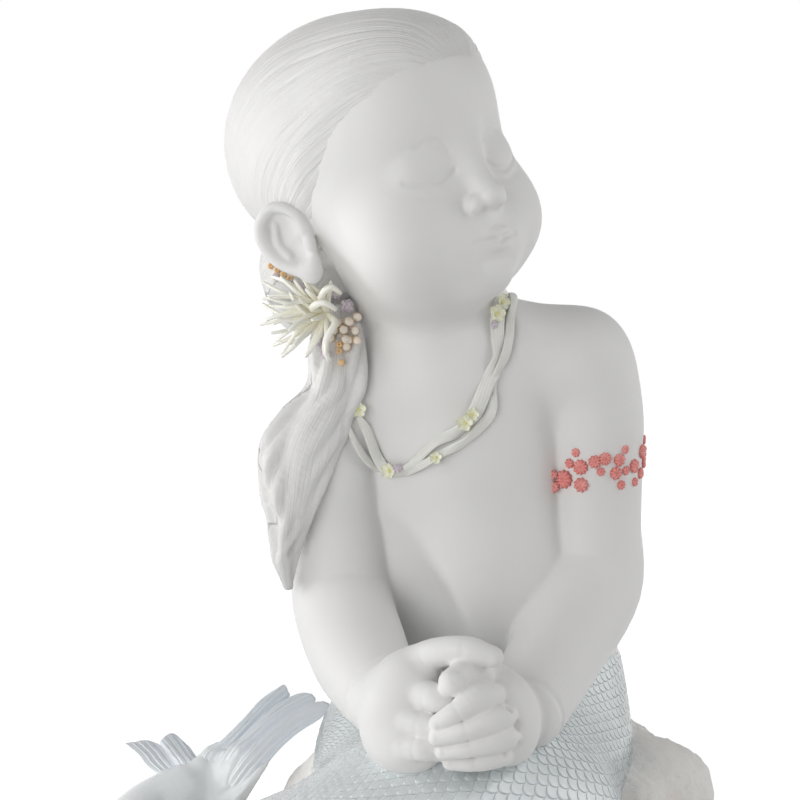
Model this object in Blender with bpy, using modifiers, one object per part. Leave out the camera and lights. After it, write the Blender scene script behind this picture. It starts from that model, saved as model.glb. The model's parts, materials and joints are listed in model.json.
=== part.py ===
"""Porcelain mermaid child on a rock, hands clasped in the lap, with a ribbon necklace,
a coral arm band and a sea-flower ornament behind the ear.

Metres, +Z up, the figure's front toward -Y, origin at the middle of the base's underside.
Sizes in the tables below are millimetres.
"""

import math

import bpy
import bmesh
import numpy as np
import openvdb
from mathutils import Euler, Matrix, Vector
from mathutils.bvhtree import BVHTree

MM = 0.001
FAR = 1000.0

# grid steps of the sculpted pieces
BODY_GRAIN = 1.2
ROCK_GRAIN = 2.0
TRIM_GRAIN = 0.45

# triangles left in each sculpted piece
BODY_TRIANGLES = 4750
TAIL_TRIANGLES = 1500
ROCK_TRIANGLES = 460
ANEMONE_TRIANGLES = 900
PEARL_TRIANGLES = 420
BEAD_TRIANGLES = 110
DROP_TRIANGLES = 90

GAP = 0.3
WAIST_HEIGHT = 112.0

HEAD_PLACE = (-6.0, 1.0, 281.0)
HEAD_YAW = 43.0
HEAD_PITCH = 13.0
HEAD_ROLL = 9.0
HEAD_SCALE = 0.99

# x, y, z and radius of the space between the belly and the right forearm
FOREARM_HOLLOW = (
    (-6, -14, 156, 5), (-1, -18, 146, 10), (4, -21, 132, 14), (7, -24, 118, 16), (7, -26, 104, 16),
)
# x, y, z and radius along each arm, shoulder to wrist
LEFT_ARM = (
    (63, 8, 214, 15),
    (67, 8, 197, 16.2),
    (66.6, 8, 178, 16.8),
    (66.2, 6, 158, 16.8),
    (65, 0, 138, 18),
    (53, -26, 122, 16),
    (46, -42, 114, 14.6),
    (41, -54, 108, 13),
)
RIGHT_ARM = (
    (-19.5, 0, 198, 13),
    (-22, -2, 178, 15),
    (-21, 0, 158, 15.6),
    (-19.8, -5, 134, 17),
    (-14, -30, 122, 16.5),
    (-9, -46, 116, 14.8),
    (-5, -57, 113, 13.4),
)

# x, y, z and radius of each finger, knuckle to tip
LEFT_FINGERS = (
    ((29.3, -78, 117.8, 4.9), (24.7, -86, 120.5, 4.6), (17.7, -89, 116.8, 3.9), (11.9, -87, 112.4, 3.1)),
    ((34.4, -78, 111.9, 4.8), (30.3, -87, 113.7, 4.4), (20.2, -90, 110.7, 3.7), (11.5, -88, 107.9, 3.0)),
    ((36.4, -77, 105.2, 4.6), (32.2, -86, 107.0, 4.2), (21.8, -89, 105.3, 3.5), (13.4, -87, 103.4, 2.9)),
    ((35.6, -74, 98.5, 4.2), (31.7, -83, 100.4, 3.7), (23.2, -85, 99.6, 3.1), (15.7, -84, 99.3, 2.7)),
)
RIGHT_FINGERS = (
    ((6.3, -77, 119.1, 5.2), (11.9, -82, 119.0, 4.6), (16.3, -81, 116.2, 4.0)),
    ((3, -79, 111, 5.2), (9, -82.5, 110, 4.6), (16, -82, 108, 4.2)),
    ((2, -80, 103, 5.0), (8.1, -84, 103.5, 4.2), (14, -82, 102, 3.6)),
)
LEFT_THUMB = ((29, -66, 121, 6.2), (25.4, -72, 124, 5.4), (20.7, -80, 126.3, 4.9), (16.5, -85, 124.8, 4.6))
RIGHT_THUMB = ((3.8, -64, 123.5, 6.4), (10.1, -72, 130.5, 5.2), (20.8, -78, 133.7, 4.3), (29.2, -80, 131.8, 3.4))

# x, y, z and radius down the middle of the gathered hair
PONYTAIL = (
    (-23, 5, 245, 9.5),
    (-21.5, -1, 234, 9.5),
    (-20.5, -6, 223, 8.5),
    (-20.5, -11, 213, 7.5),
    (-24.5, -15, 202, 9.3),
    (-30, -19, 192, 11.8),
    (-33, -20, 183, 11.8),
    (-35, -20, 169, 9.6),
    (-36, -18, 158, 6.3),
    (-37, -17, 150, 4.2),
    (-35.5, -15, 142, 1.6),
)
# x, y, z and radius down each lock of the gathered hair, from left to right
LOCKS = (
    (
        (-25.4, 0.9, 227.5, 3.0), (-26.4, -4.0, 218.9, 3.3), (-29.6, -10.8, 207.6, 3.6), (-34.1, -13.7, 200.2, 4.3),
        (-39.0, -15.4, 192.3, 4.6), (-42.5, -15.4, 185.6, 4.3), (-43.3, -15.6, 178.8, 4.0), (-42.4, -16.2, 170.4, 3.6),
        (-40.1, -16.3, 163.6, 2.6), (-40.4, -15.9, 156.7, 2.3), (-40.3, -13.8, 149.4, 2.0), (-38.0, -11.4, 140.6, 0.7),
    ),
    (
        (-23.0, -4.7, 228.2, 3.0), (-23.2, -9.8, 219.6, 3.0), (-27.4, -13.9, 208.0, 3.3), (-30.3, -15.6, 200.5, 3.6),
        (-33.5, -18.1, 192.7, 4.0), (-36.2, -19.8, 186.3, 4.0), (-37.8, -21.5, 179.8, 3.6), (-38.8, -21.9, 171.4, 3.3),
        (-38.3, -20.5, 164.4, 2.6), (-39.4, -18.4, 157.2, 2.3), (-39.3, -17.2, 150.1, 2.0), (-37.6, -15.1, 141.4, 0.7),
    ),
    (
        (-20.7, -8.9, 228.6, 3.0), (-21.5, -11.7, 219.9, 3.0), (-24.0, -15.1, 208.2, 3.3), (-25.6, -18.6, 200.9, 3.6),
        (-27.7, -22.9, 193.5, 3.6), (-31.1, -24.8, 187.1, 3.6), (-33.6, -25.2, 180.4, 3.6), (-34.7, -23.5, 171.7, 3.0),
        (-35.3, -21.4, 164.5, 2.6), (-36.3, -20.1, 157.5, 2.3), (-38.1, -20.3, 150.7, 1.7), (-37.4, -18.7, 142.2, 0.7),
    ),
    (
        (-19.8, -6.5, 228.4, 3.0), (-19.0, -9.6, 219.6, 3.0), (-20.1, -16.0, 208.3, 3.3), (-22.1, -20.2, 201.1, 3.3),
        (-25.0, -23.3, 193.6, 3.3), (-27.8, -23.3, 186.8, 3.3), (-29.7, -22.7, 180.0, 3.3), (-31.5, -21.6, 171.4, 3.0),
        (-33.6, -21.2, 164.5, 2.6), (-36.5, -21.4, 157.7, 2.0), (-38.4, -20.4, 150.7, 1.3), (-37.4, -18.3, 142.1, 0.7),
    ),
    (
        (-17.0, -3.3, 228.0, 2.6), (-15.9, -8.7, 219.5, 2.6), (-17.7, -14.9, 208.1, 3.0), (-19.9, -17.1, 200.7, 3.0),
        (-21.7, -18.7, 192.8, 3.0), (-23.9, -19.1, 186.2, 3.0), (-26.5, -20.0, 179.5, 2.6), (-30.1, -20.9, 171.2, 2.6),
        (-33.0, -20.8, 164.4, 2.3), (-36.0, -19.8, 157.4, 1.7), (-38.0, -17.6, 150.2, 1.0), (-37.3, -15.2, 141.4, 0.7),
    ),
    (
        (-15.7, -2.3, 227.9, 2.6), (-15.3, -6.9, 219.3, 2.6), (-14.9, -10.2, 207.5, 2.3), (-16.9, -12.2, 200.0, 2.3),
        (-19.8, -15.4, 192.3, 2.3), (-23.0, -17.5, 185.9, 2.3), (-26.6, -19.1, 179.4, 2.3), (-29.7, -18.8, 170.9, 2.0),
        (-31.8, -16.9, 163.7, 1.7), (-35.1, -14.8, 156.5, 1.3), (-37.7, -14.1, 149.5, 1.0), (-37.6, -12.2, 140.8, 0.7),
    ),
)

# x, y, z and radius of the tail, lap to the root of the fluke
TAIL_CURL = (
    (12, -52, 62, 39),
    (-14, -62, 57, 33),
    (-42, -58, 50, 27),
    (-66, -46, 44, 21),
    (-86, -27, 42, 17.5),
    (-94, -5, 44, 15),
    (-88, 12, 51, 13),
    (-76, 19, 58, 11),
)
FLUKE_ROOT = (-76, 19, 57)
# bend and tip of every ray of the fluke's two lobes
FLUKE_RIGHT = (
    ((-64, 27, 76), (-52, 36, 87)),
    ((-61, 29, 77), (-44, 41, 92)),
    ((-59, 30, 74), (-39, 43, 91)),
    ((-57, 31, 71), (-33, 45, 90)),
    ((-56, 32, 68), (-26, 46, 87)),
    ((-55, 32, 64), (-20, 46, 82)),
    ((-56, 31, 60), (-18, 45, 76)),
)
FLUKE_LEFT = (
    ((-88, 22, 66), (-98, 26, 75)),
    ((-86, 24, 69), (-92, 28, 77)),
    ((-83, 26, 70), (-86, 30, 77)),
    ((-80, 28, 70), (-80, 31, 78)),
    ((-76, 28, 68), (-75, 30, 75)),
)

# guide of the necklace, from behind the right shoulder hair round the nape and the chest
NECKLACE_GUIDE = (
    (-8, 36, 222),
    (10, 42, 226),
    (26, 36, 230),
    (37, 18, 231),
    (38, 6, 232),
    (36, -2, 230),
    (34, -6, 225),
    (33, -10, 216),
    (29, -14, 206),
    (23, -16, 198),
    (16, -17, 191),
    (8, -17, 184),
    (0, -14, 181),
    (-7, -12, 184),
    (-11, -13, 190),
    (-13, -14, 196),
)
RIBBON_WIDTH = 4.1
RIBBON_THICK = 0.8
RIBBON_SWING = 2.4
RIBBON_TURNS = 5.5
RIBBON_STEPS = 38

# x, height and radius of each, as seen from the front
NECKLACE_FLOWERS = (
    (32.5, 235.0, 2.2),
    (31.6, 231.0, 2.3),
    (24.6, 199.6, 1.9),
    (21.0, 196.2, 2.4),
    (11.6, 185.0, 1.8),
    (-2.6, 181.0, 2.2),
    (-13.4, 199.5, 2.4),
)
NECKLACE_BUDS = ((33.4, 226.6, 1.1), (1.8, 182.4, 1.4), (-12.9, 204.0, 1.3))

# degrees round the arm from straight ahead toward the outside, height, radius
ARM_CORALS = (
    (-33.4, 184.6, 1.4),
    (-41, 181.2, 1.5),
    (-25, 179.9, 2.2),
    (-49, 178.6, 1.4),
    (-41, 175.3, 2.7),
    (-45, 171.4, 1.5),
    (-24, 174.6, 2.1),
    (-8, 181.8, 1.9),
    (6.4, 183.4, 1.8),
    (0.9, 178.4, 1.4),
    (22, 182.4, 2.0),
    (34, 186.4, 1.3),
    (18, 176.9, 1.9),
    (36, 178.4, 1.4),
    (27, 172.6, 1.3),
    (48, 181.0, 2.2),
    (82, 188.4, 1.3),
    (68, 184.2, 2.0),
    (86, 180.8, 2.0),
    (72, 178.2, 1.8),
    (58, 174.6, 1.3),
    (86, 175.2, 0.9),
    (104, 184, 1.9),
    (120, 178.5, 2.2),
    (140, 183, 1.8),
    (160, 178, 2.1),
    (182, 182, 1.8),
    (202, 178, 2.0),
)

ORNAMENT_ROOT = (-25, -13, 234)
# tip of each anemone arm
ANEMONE_TIPS = (
    (-45.4, -11, 242.0), (-45.2, -15, 239.0), (-45.8, -10, 235.2), (-44.1, -19, 231.8),
    (-46.4, -13, 229.1), (-42.1, -12, 221.9), (-39.2, -19, 220.8), (-39.0, -22, 218.8),
    (-31.0, -26, 221.3), (-24.3, -28, 220.5), (-34.9, -15, 245.4), (-32.7, -19, 245.1),
    (-30.2, -16, 244.1), (-22.9, -16, 242.5), (-42.8, -8, 245.7), (-42.9, -21, 238.0),
    (-42.3, -22, 227.8), (-36.1, -28, 229.1), (-32.9, -24, 238.6), (-28.6, -27, 233.0),
    (-27.0, -22, 238.4), (-36.3, -20, 241.5),
)
# x, height and radius of each, as seen from the front
HAIR_CORALS = (
    (-18.7, 233.6, 1.9), (-22.0, 236.9, 1.4), (-27.1, 221.5, 1.7), (-24.5, 216.1, 1.5), (-36.4, 241.6, 1.5),
)
PEARLS = (
    (-17.3, 229.1, 1.7), (-15.3, 229.8, 1.7), (-20.6, 228.1, 1.8), (-18.3, 226.1, 1.8), (-15.1, 225.6, 1.8),
    (-22.6, 225.1, 1.6), (-20.6, 223.4, 1.8), (-18.0, 222.7, 1.8), (-15.0, 222.1, 1.7),
)
GOLD_BEADS = (
    (-42.6, 247.9, 1.1), (-40.6, 246.7, 1.1), (-38.6, 245.5, 1.1), (-36.6, 244.2, 1.2),
)
GOLD_DROP = (
    (-20.5, 220.7, 1.2), (-20.4, 218.7, 1.1), (-19.9, 216.3, 1.4),
)

COLORS = {
    "bisque": ((0.83, 0.82, 0.8), 0.62),
    "tail_glaze": ((0.6, 0.71, 0.78), 0.16),
    "rock": ((0.72, 0.68, 0.63), 0.85),
    "ribbon": ((0.74, 0.75, 0.66), 0.5),
    "petal": ((0.9, 0.89, 0.66), 0.45),
    "lilac": ((0.72, 0.66, 0.72), 0.6),
    "anemone": ((0.87, 0.86, 0.66), 0.3),
    "pearl": ((0.92, 0.83, 0.7), 0.3),
    "gold": ((0.86, 0.62, 0.3), 0.35),
    "coral": ((0.82, 0.3, 0.27), 0.5),
}


class Clay:
    """A solid kept as signed distances on a grid: shapes are melted on or carved away, then it is skinned."""

    def __init__(self, low, high, grain):
        self.low = np.array(low, float)
        self.grain = grain
        counts = np.ceil((np.array(high, float) - self.low) / grain).astype(int) + 1
        self.depth = np.full(counts, FAR, np.float32)

    def copy(self):
        twin = Clay(self.low, self.low, self.grain)
        twin.depth = self.depth.copy()
        return twin

    def window(self, low, high):
        first = np.clip(np.floor((low - self.low) / self.grain).astype(int), 0, self.depth.shape)
        last = np.clip(np.ceil((high - self.low) / self.grain).astype(int) + 1, 0, self.depth.shape)
        axes = [
            (self.low[i] + self.grain * np.arange(first[i], last[i])).astype(np.float32)
            for i in range(3)
        ]
        return tuple(slice(a, b) for a, b in zip(first, last)), np.ix_(*axes)

    def melt(self, shape, blend=0.01):
        distance, low, high = shape
        reach = blend + 2 * self.grain
        part, points = self.window(low - reach, high + reach)
        self.depth[part] = soft_min(self.depth[part], distance(*points), blend)

    def carve(self, shape, blend=0.01):
        distance, low, high = shape
        reach = blend + 2 * self.grain
        part, points = self.window(low - reach, high + reach)
        self.depth[part] = -soft_min(-self.depth[part], distance(*points), blend)

    def slice_level(self, height, keep_above):
        """Keeps what is above or below a level plane."""
        heights = self.low[2] + self.grain * np.arange(self.depth.shape[2])
        plane = heights - height if keep_above else height - heights
        self.depth = np.maximum(self.depth, -plane.astype(np.float32)[None, None, :])

    def clear_of(self, other, gap):
        """Carves away the other solid, grown by a gap."""
        shift = np.round((self.low - other.low) / self.grain).astype(int)
        first = np.maximum(shift, 0)
        last = np.minimum(shift + self.depth.shape, other.depth.shape)
        mine = tuple(slice(a, b) for a, b in zip(first - shift, last - shift))
        theirs = tuple(slice(a, b) for a, b in zip(first, last))
        self.depth[mine] = np.maximum(self.depth[mine], gap - other.depth[theirs])

    def skin(self, name):
        band = 3 * self.grain
        grid = openvdb.FloatGrid(band)
        grid.copyFromArray(np.clip(self.depth, -band, band))
        points, triangles, quads = grid.convertToPolygons(0.0, 0.0)
        mesh = bpy.data.meshes.new(name)
        points = (points * self.grain + self.low) * MM
        mesh.from_pydata(points.tolist(), [], triangles.tolist() + quads.tolist())
        mesh.shade_smooth()
        return bpy.data.objects.new(name, mesh)


def soft_min(a, b, blend):
    near = np.maximum(blend - np.abs(a - b), 0) / blend
    return np.minimum(a, b) - near * near * blend * 0.25


def blob(centre, radii, turn=(0, 0, 0), frame=None):
    """An ellipsoid: its distance function and its box."""
    frame = frame or Matrix.Identity(4)
    turned = Euler([math.radians(angle) for angle in turn]).to_matrix().to_4x4()
    placed = frame @ Matrix.Translation(centre) @ turned
    scale = frame.to_scale()[0]
    inverse = np.array(placed.inverted(), np.float32)
    r = np.array(radii, np.float32)
    middle = np.array(placed.translation)
    reach = max(radii) * scale

    def distance(x, y, z):
        q = [
            (inverse[i, 0] * x + inverse[i, 1] * y + inverse[i, 2] * z + inverse[i, 3]) / r[i]
            for i in range(3)
        ]
        near = np.sqrt(q[0] ** 2 + q[1] ** 2 + q[2] ** 2) + 1e-6
        slope = np.sqrt((q[0] / r[0]) ** 2 + (q[1] / r[1]) ** 2 + (q[2] / r[2]) ** 2) + 1e-6
        return near * (near - 1) / slope * scale

    return distance, middle - reach, middle + reach


def spline(points, steps):
    """A smooth run through rows of numbers."""
    p = np.array(points, float)
    ends = np.vstack([2 * p[0] - p[1], p, 2 * p[-1] - p[-2]])
    rows = []
    for i in range(1, len(ends) - 2):
        a, b, c, d = ends[i - 1 : i + 3]
        for t in np.arange(steps) / steps:
            bend = 2 * a - 5 * b + 4 * c - d
            rows.append(0.5 * (2 * b + (c - a) * t + bend * t**2 + (3 * b - a - 3 * c + d) * t**3))
    rows.append(p[-1])
    return np.array(rows)


def limb(points, frame=None, steps=6):
    """A tube through (x, y, z, radius) rows: its distance function and its box."""
    rows = spline(points, steps) if steps > 1 else np.array(points, float)
    frame = frame or Matrix.Identity(4)
    scale = frame.to_scale()[0]
    centres = np.array([frame @ Vector(row[:3]) for row in rows])
    radii = rows[:, 3] * scale

    def distance(x, y, z):
        best = FAR
        for a, b, ra, rb in zip(centres[:-1], centres[1:], radii[:-1], radii[1:]):
            run = (b - a).astype(np.float32)
            px, py, pz = x - np.float32(a[0]), y - np.float32(a[1]), z - np.float32(a[2])
            along = (px * run[0] + py * run[1] + pz * run[2]) / (float(run @ run) + 1e-9)
            h = np.clip(along, 0, 1)
            away = np.sqrt((px - h * run[0]) ** 2 + (py - h * run[1]) ** 2 + (pz - h * run[2]) ** 2)
            best = np.minimum(best, away - (ra + (rb - ra) * h))
        return best

    reach = radii.max()
    return distance, centres.min(0) - reach, centres.max(0) + reach


def outside(shape, opening, blend):
    """A shape less another one, as one shape."""
    distance, low, high = shape
    hole = opening[0]

    def cut(x, y, z):
        return -soft_min(-distance(x, y, z), hole(x, y, z), blend)

    return cut, low, high


def head_frame():
    return (
        Matrix.Translation(HEAD_PLACE)
        @ Matrix.Rotation(math.radians(HEAD_YAW), 4, "Z")
        @ Matrix.Rotation(math.radians(-HEAD_ROLL), 4, "Y")
        @ Matrix.Rotation(math.radians(-HEAD_PITCH), 4, "X")
        @ Matrix.Scale(HEAD_SCALE, 4)
    )


def add_skull(clay, f):
    clay.melt(blob((0, 8, 12), (41, 48, 40), frame=f), 10)
    clay.melt(blob((0, -12, -12), (35, 31, 36), frame=f), 14)
    clay.melt(blob((0, -20, 20), (29, 27, 25), frame=f), 12)
    clay.melt(blob((0, -16, -40), (23, 22, 13), frame=f), 12)
    clay.melt(blob((0, -35, -43.5), (9, 8, 7), frame=f), 9)
    for side in (-1, 1):
        clay.melt(blob((side * 20, -25, -26), (17, 16, 17), frame=f), 12)


def add_closed_eyes(clay, f):
    for side in (-1, 1):
        clay.carve(blob((side * 16.5, -49, -3), (10.5, 6.5, 6.5), frame=f), 9)
        clay.melt(blob((side * 16, -33.5, -6), (10, 9, 7.5), turn=(0, 0, side * 16), frame=f), 3)
        lash_line = (
            (side * 7.6, -39.6, -7.6, 0.5),
            (side * 11.5, -43.0, -9.8, 0.6),
            (side * 16.2, -43.6, -10.9, 0.6),
            (side * 21, -41.2, -9.9, 0.6),
            (side * 25.4, -36.2, -7.6, 0.5),
        )
        clay.carve(limb(lash_line, frame=f), 0.7)
        lid_fold = (
            (side * 8.5, -41.5, -1.5, 0.5),
            (side * 16.2, -42.8, 2.2, 0.6),
            (side * 24.5, -37.2, -0.5, 0.5),
        )
        clay.carve(limb(lid_fold, frame=f), 1.6)


def add_nose(clay, f):
    clay.melt(limb(((0, -41, 4, 5), (0, -43.5, -8, 4), (0, -47.5, -17.5, 4)), frame=f), 6)
    clay.melt(blob((0, -49, -19), (4.4, 4, 3.8), frame=f), 2.5)
    for side in (-1, 1):
        clay.melt(blob((side * 4.9, -45, -20), (3.2, 3.8, 3), frame=f), 2)
        clay.carve(blob((side * 2.7, -47.6, -22.6), (1.4, 2, 1.3), frame=f), 1)


def add_mouth(clay, f):
    clay.melt(blob((0, -38, -32.5), (14, 6.5, 9), frame=f), 8)
    for side in (-1, 1):
        upper = (
            (side * 9.8, -41.0, -32.6, 0.7),
            (side * 5.2, -43.9, -31.2, 1.5),
            (side * 1.7, -45.0, -30.4, 1.8),
            (0, -45.0, -30.9, 1.7),
        )
        clay.melt(limb(upper, frame=f), 1.4)
        lower = (
            (side * 8.8, -41.0, -33.6, 0.8),
            (side * 4.4, -43.4, -35.2, 1.9),
            (0, -44.1, -35.6, 2.3),
        )
        clay.melt(limb(lower, frame=f), 1.8)
        parting = (
            (side * 10.6, -41.2, -33.0, 0.4),
            (side * 4.8, -45.6, -33.1, 0.5),
            (0, -46.8, -33.3, 0.5),
        )
        clay.carve(limb(parting, frame=f), 0.7)
    clay.carve(limb(((0, -47.4, -25.4, 0.8), (0, -46.8, -28.4, 1.0)), frame=f, steps=1), 1.5)
    clay.carve(blob((0, -45.6, -40), (7, 3, 2.2), frame=f), 4)


def add_ear(clay, f, side):
    place = (
        Matrix.Translation((side * 39, 7, -16))
        @ Matrix.Rotation(math.radians(side * -22), 4, "Z")
        @ Matrix.Rotation(math.radians(-10), 4, "X")
    )
    f = f @ place
    clay.melt(blob((side, 1, 0), (3, 8, 12), frame=f), 3)
    rim = (
        (side * 1.5, -5.5, 2, 1.6),
        (side * 3.2, -5.0, 8, 1.8),
        (side * 4.2, 1, 12.6, 2.0),
        (side * 4.8, 7.6, 9.5, 2.0),
        (side * 4.8, 9.6, 3, 1.9),
        (side * 4.2, 7.6, -4, 1.9),
        (side * 3.4, 3, -9, 2.1),
        (side * 2.6, -2, -11.6, 2.8),
        (side * 1.6, -4, -9, 2.2),
    )
    clay.melt(limb(rim, frame=f), 1.8)
    clay.melt(blob((side * 2.4, -1.5, -11.8), (2.4, 4, 4.2), frame=f), 1.6)
    clay.carve(blob((side * 4.2, 1.2, 3.4), (2.6, 5, 6.8), frame=f), 1.4)
    clay.carve(blob((side * 3.8, -1.2, -3.2), (2.8, 4, 4.2), frame=f), 1.4)
    inner_fold = ((side * 2.6, 3.6, 7, 1.0), (side * 3, 5.2, 1, 1.2), (side * 2.8, 3.4, -4.4, 1.2))
    clay.melt(limb(inner_fold, frame=f), 1.2)
    clay.melt(blob((side * 2.2, -5.2, -3.2), (1.7, 2, 2.6), frame=f), 1.2)


def add_head(clay):
    f = head_frame()
    add_skull(clay, f)
    add_closed_eyes(clay, f)
    add_nose(clay, f)
    add_mouth(clay, f)
    add_ear(clay, f, -1)
    add_ear(clay, f, 1)


def add_hair_cap(clay):
    """Hair combed back flat from the hairline and gathered low behind the right ear."""
    f = head_frame()
    crown = blob((0, 8.5, 12), (43.4, 50.4, 42.6), frame=f)
    face_opening = blob((0, -320, -270), (405, 405, 405), frame=f)
    clay.melt(outside(crown, face_opening, 2), 1.2)
    clay.melt(limb(((36, 22, -14, 8), (20, 40, -28, 9), (-8, 42, -36, 10), (-26, 30, -38, 9.5)), frame=f), 8)
    clay.melt(blob((-18, 30, -26), (18, 16, 16), frame=f), 8)


def add_ponytail(clay):
    """The gathered hair: long locks side by side over a plain core."""
    clay.melt(limb([(x, y + 2, z, 0.8 * r) for x, y, z, r in PONYTAIL], steps=3), 4)
    for lock in LOCKS:
        clay.melt(limb(lock, steps=3), 1.5)


def add_trunk(clay):
    clay.melt(blob((19, 5, 188), (34, 22, 34), turn=(0, -12, 0)), 14)
    clay.melt(blob((25, 6, 150), (33, 25, 40), turn=(0, -10, 0)), 18)
    clay.melt(blob((32, 13, 114), (39, 29, 30)), 16)
    clay.melt(blob((27, -3, 136), (26, 20, 28)), 14)
    clay.melt(blob((34, 25, 92), (44, 36, 38)), 22)
    clay.carve(limb(FOREARM_HOLLOW), 7)


def add_shoulders(clay):
    clay.melt(limb(((-1, 8, 246, 20), (6, 9, 232, 20), (12, 9, 214, 23))), 10)
    clay.melt(limb(((-18, 4, 198, 13), (14, 8, 208, 16), (62, 8, 214, 14.5))), 12)
    clay.melt(limb(((10, 10, 226, 15), (38, 11, 223, 12), (62, 9, 217, 13))), 12)


def add_hands(clay):
    clay.melt(blob((1, -69, 112), (14, 13, 20), turn=(0, 12, 0)), 3)
    clay.melt(blob((4, -74, 103), (11, 10, 10)), 5)
    clay.melt(limb(RIGHT_THUMB), 3)
    clay.melt(blob((35, -69, 109), (13, 14, 18), turn=(0, -12, 0)), 3)
    clay.melt(blob((37, -72, 104), (9, 9, 13)), 4)
    clay.melt(limb(LEFT_THUMB), 2)
    for finger in RIGHT_FINGERS:
        clay.melt(limb(finger), 1.5)
    for finger in LEFT_FINGERS:
        clay.melt(limb(finger), 0.9)


def add_tail(clay):
    clay.melt(limb(TAIL_CURL), 4)
    clay.melt(blob((28, 2, 78), (52, 42, 36)), 16)
    clay.melt(blob((24, -38, 68), (50, 44, 36)), 16)
    clay.melt(limb(((34, 24, 90, 36), (28, -10, 78, 38), (20, -46, 68, 36))), 10)
    clay.melt(blob((-8, -14, 74), (19, 26, 32)), 14)


def add_fluke(clay):
    for lobe in (FLUKE_RIGHT, FLUKE_LEFT):
        for bend, tip in lobe:
            rows = ((*FLUKE_ROOT, 8), (*bend, 4.2), (*tip, 1.8))
            clay.melt(limb(rows), 4)


def add_rock(clay):
    clay.melt(blob((34, 22, 34), (76, 56, 56)), 4)
    clay.melt(blob((-38, -14, 10), (68, 58, 30)), 20)
    clay.melt(blob((22, -36, 6), (78, 50, 34)), 20)
    clay.melt(blob((-16, 14, 48), (26, 19, 29)), 12)
    clay.melt(blob((80, 24, 50), (34, 34, 34)), 14)


def roughen_rock(clay):
    """Long soft waves in the field, so that the boulder is lumpy on every side."""
    axes = [(clay.low[i] + clay.grain * np.arange(clay.depth.shape[i])).astype(np.float32) for i in range(3)]
    x, y, z = np.ix_(*axes)
    waves = 2.2 * np.sin(x / 9 + 1.3 * np.sin(y / 13)) * np.sin(y / 8 + 1.1 * np.sin(z / 11))
    waves = waves + 1.3 * np.sin(z / 6 + x / 17) * np.sin(x / 6.5 - y / 9)
    clay.depth = clay.depth + waves


def add_to(collection, obj, slot):
    """Links an object and gives it its own material."""
    color, roughness = COLORS[slot]
    material = bpy.data.materials.get(slot) or bpy.data.materials.new(slot)
    material.use_nodes = True
    surface = material.node_tree.nodes["Principled BSDF"]
    surface.inputs["Base Color"].default_value = (*color, 1)
    surface.inputs["Roughness"].default_value = roughness
    obj.data.materials.append(material)
    collection.objects.link(obj)
    return obj


def thin_out(obj, triangles):
    """Leaves about this many triangles, more where it bends."""
    found = sum(len(face.vertices) - 2 for face in obj.data.polygons)
    modifier = obj.modifiers.new("fewer_faces", "DECIMATE")
    modifier.ratio = triangles / found
    modifier.use_collapse_triangulate = True


def surface_of(objects):
    """What the given objects look like together after their modifiers, as a searchable surface."""
    bpy.context.view_layer.update()
    graph = bpy.context.evaluated_depsgraph_get()
    points = []
    faces = []
    for obj in objects:
        mesh = obj.evaluated_get(graph).data
        start = len(points)
        points += [v.co / MM for v in mesh.vertices]
        faces += [[start + i for i in face.vertices] for face in mesh.polygons]
    return BVHTree.FromPolygons(points, faces)


def sculpt_figure(collection):
    """Upper body and tail from one trunk, parted by a level joint at the waist."""
    trunk = Clay((-124, -112, 4), (104, 84, 344), BODY_GRAIN)
    add_trunk(trunk)
    body = trunk.copy()
    body.slice_level(WAIST_HEIGHT + GAP, True)
    add_shoulders(body)
    body.melt(limb(((60, 8, 215, 14), (66.5, 8, 204, 15), (68, 8, 192, 14.6))), 9)
    body.melt(limb(((-17, 3, 200, 12), (-20.5, 0, 188, 13))), 9)
    body.melt(limb(LEFT_ARM), 3)
    body.melt(limb(RIGHT_ARM), 3)
    add_hands(body)
    add_head(body)
    add_hair_cap(body)
    add_ponytail(body)
    tail = trunk
    add_tail(tail)
    tail.slice_level(WAIST_HEIGHT, False)
    add_fluke(tail)
    tail.clear_of(body, 2.5 * GAP)
    upper_body = add_to(collection, body.skin("upper_body"), "bisque")
    thin_out(upper_body, BODY_TRIANGLES)
    lower = add_to(collection, tail.skin("tail"), "tail_glaze")
    thin_out(lower, TAIL_TRIANGLES)
    return body, upper_body, lower


def sculpt_rock(collection, cutters, tail):
    """The boulder, with a seat cut to the underside of the tail."""
    clay = Clay((-124, -96, -8), (130, 96, 112), ROCK_GRAIN)
    add_rock(clay)
    roughen_rock(clay)
    clay.slice_level(0, True)
    rock = add_to(collection, clay.skin("rock_base"), "rock")
    thin_out(rock, ROCK_TRIANGLES)
    seat = tail.copy()
    seat.name = "seat_cutter"
    grown = seat.modifiers.new("grown", "DISPLACE")
    grown.strength = 2.4 * GAP * MM
    grown.mid_level = 0
    seat.hide_render = True
    seat.display_type = "WIRE"
    cutters.objects.link(seat)
    cut = rock.modifiers.new("seat", "BOOLEAN")
    cut.operation = "DIFFERENCE"
    cut.solver = "EXACT"
    cut.object = seat
    return rock


def sculpt_trim(collection, body, name, slot, rows, triangles, spread=0.4, avoid=()):
    """Fused beads or arms as one small body that clears the hair and the pieces around it."""
    every = np.array([row for run in rows for row in run])
    low = np.floor((every[:, :3].min(0) - 4) / TRIM_GRAIN) * TRIM_GRAIN
    clay = Clay(low, every[:, :3].max(0) + 4, TRIM_GRAIN)
    for run in rows:
        clay.melt(limb(run, steps=1 if len(run) == 2 else 5), spread)
    clear_of_body(clay, body)
    for other in avoid:
        clay.clear_of(other, 1.6 * GAP)
    obj = add_to(collection, clay.skin(name), slot)
    thin_out(obj, triangles)
    return clay


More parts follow.
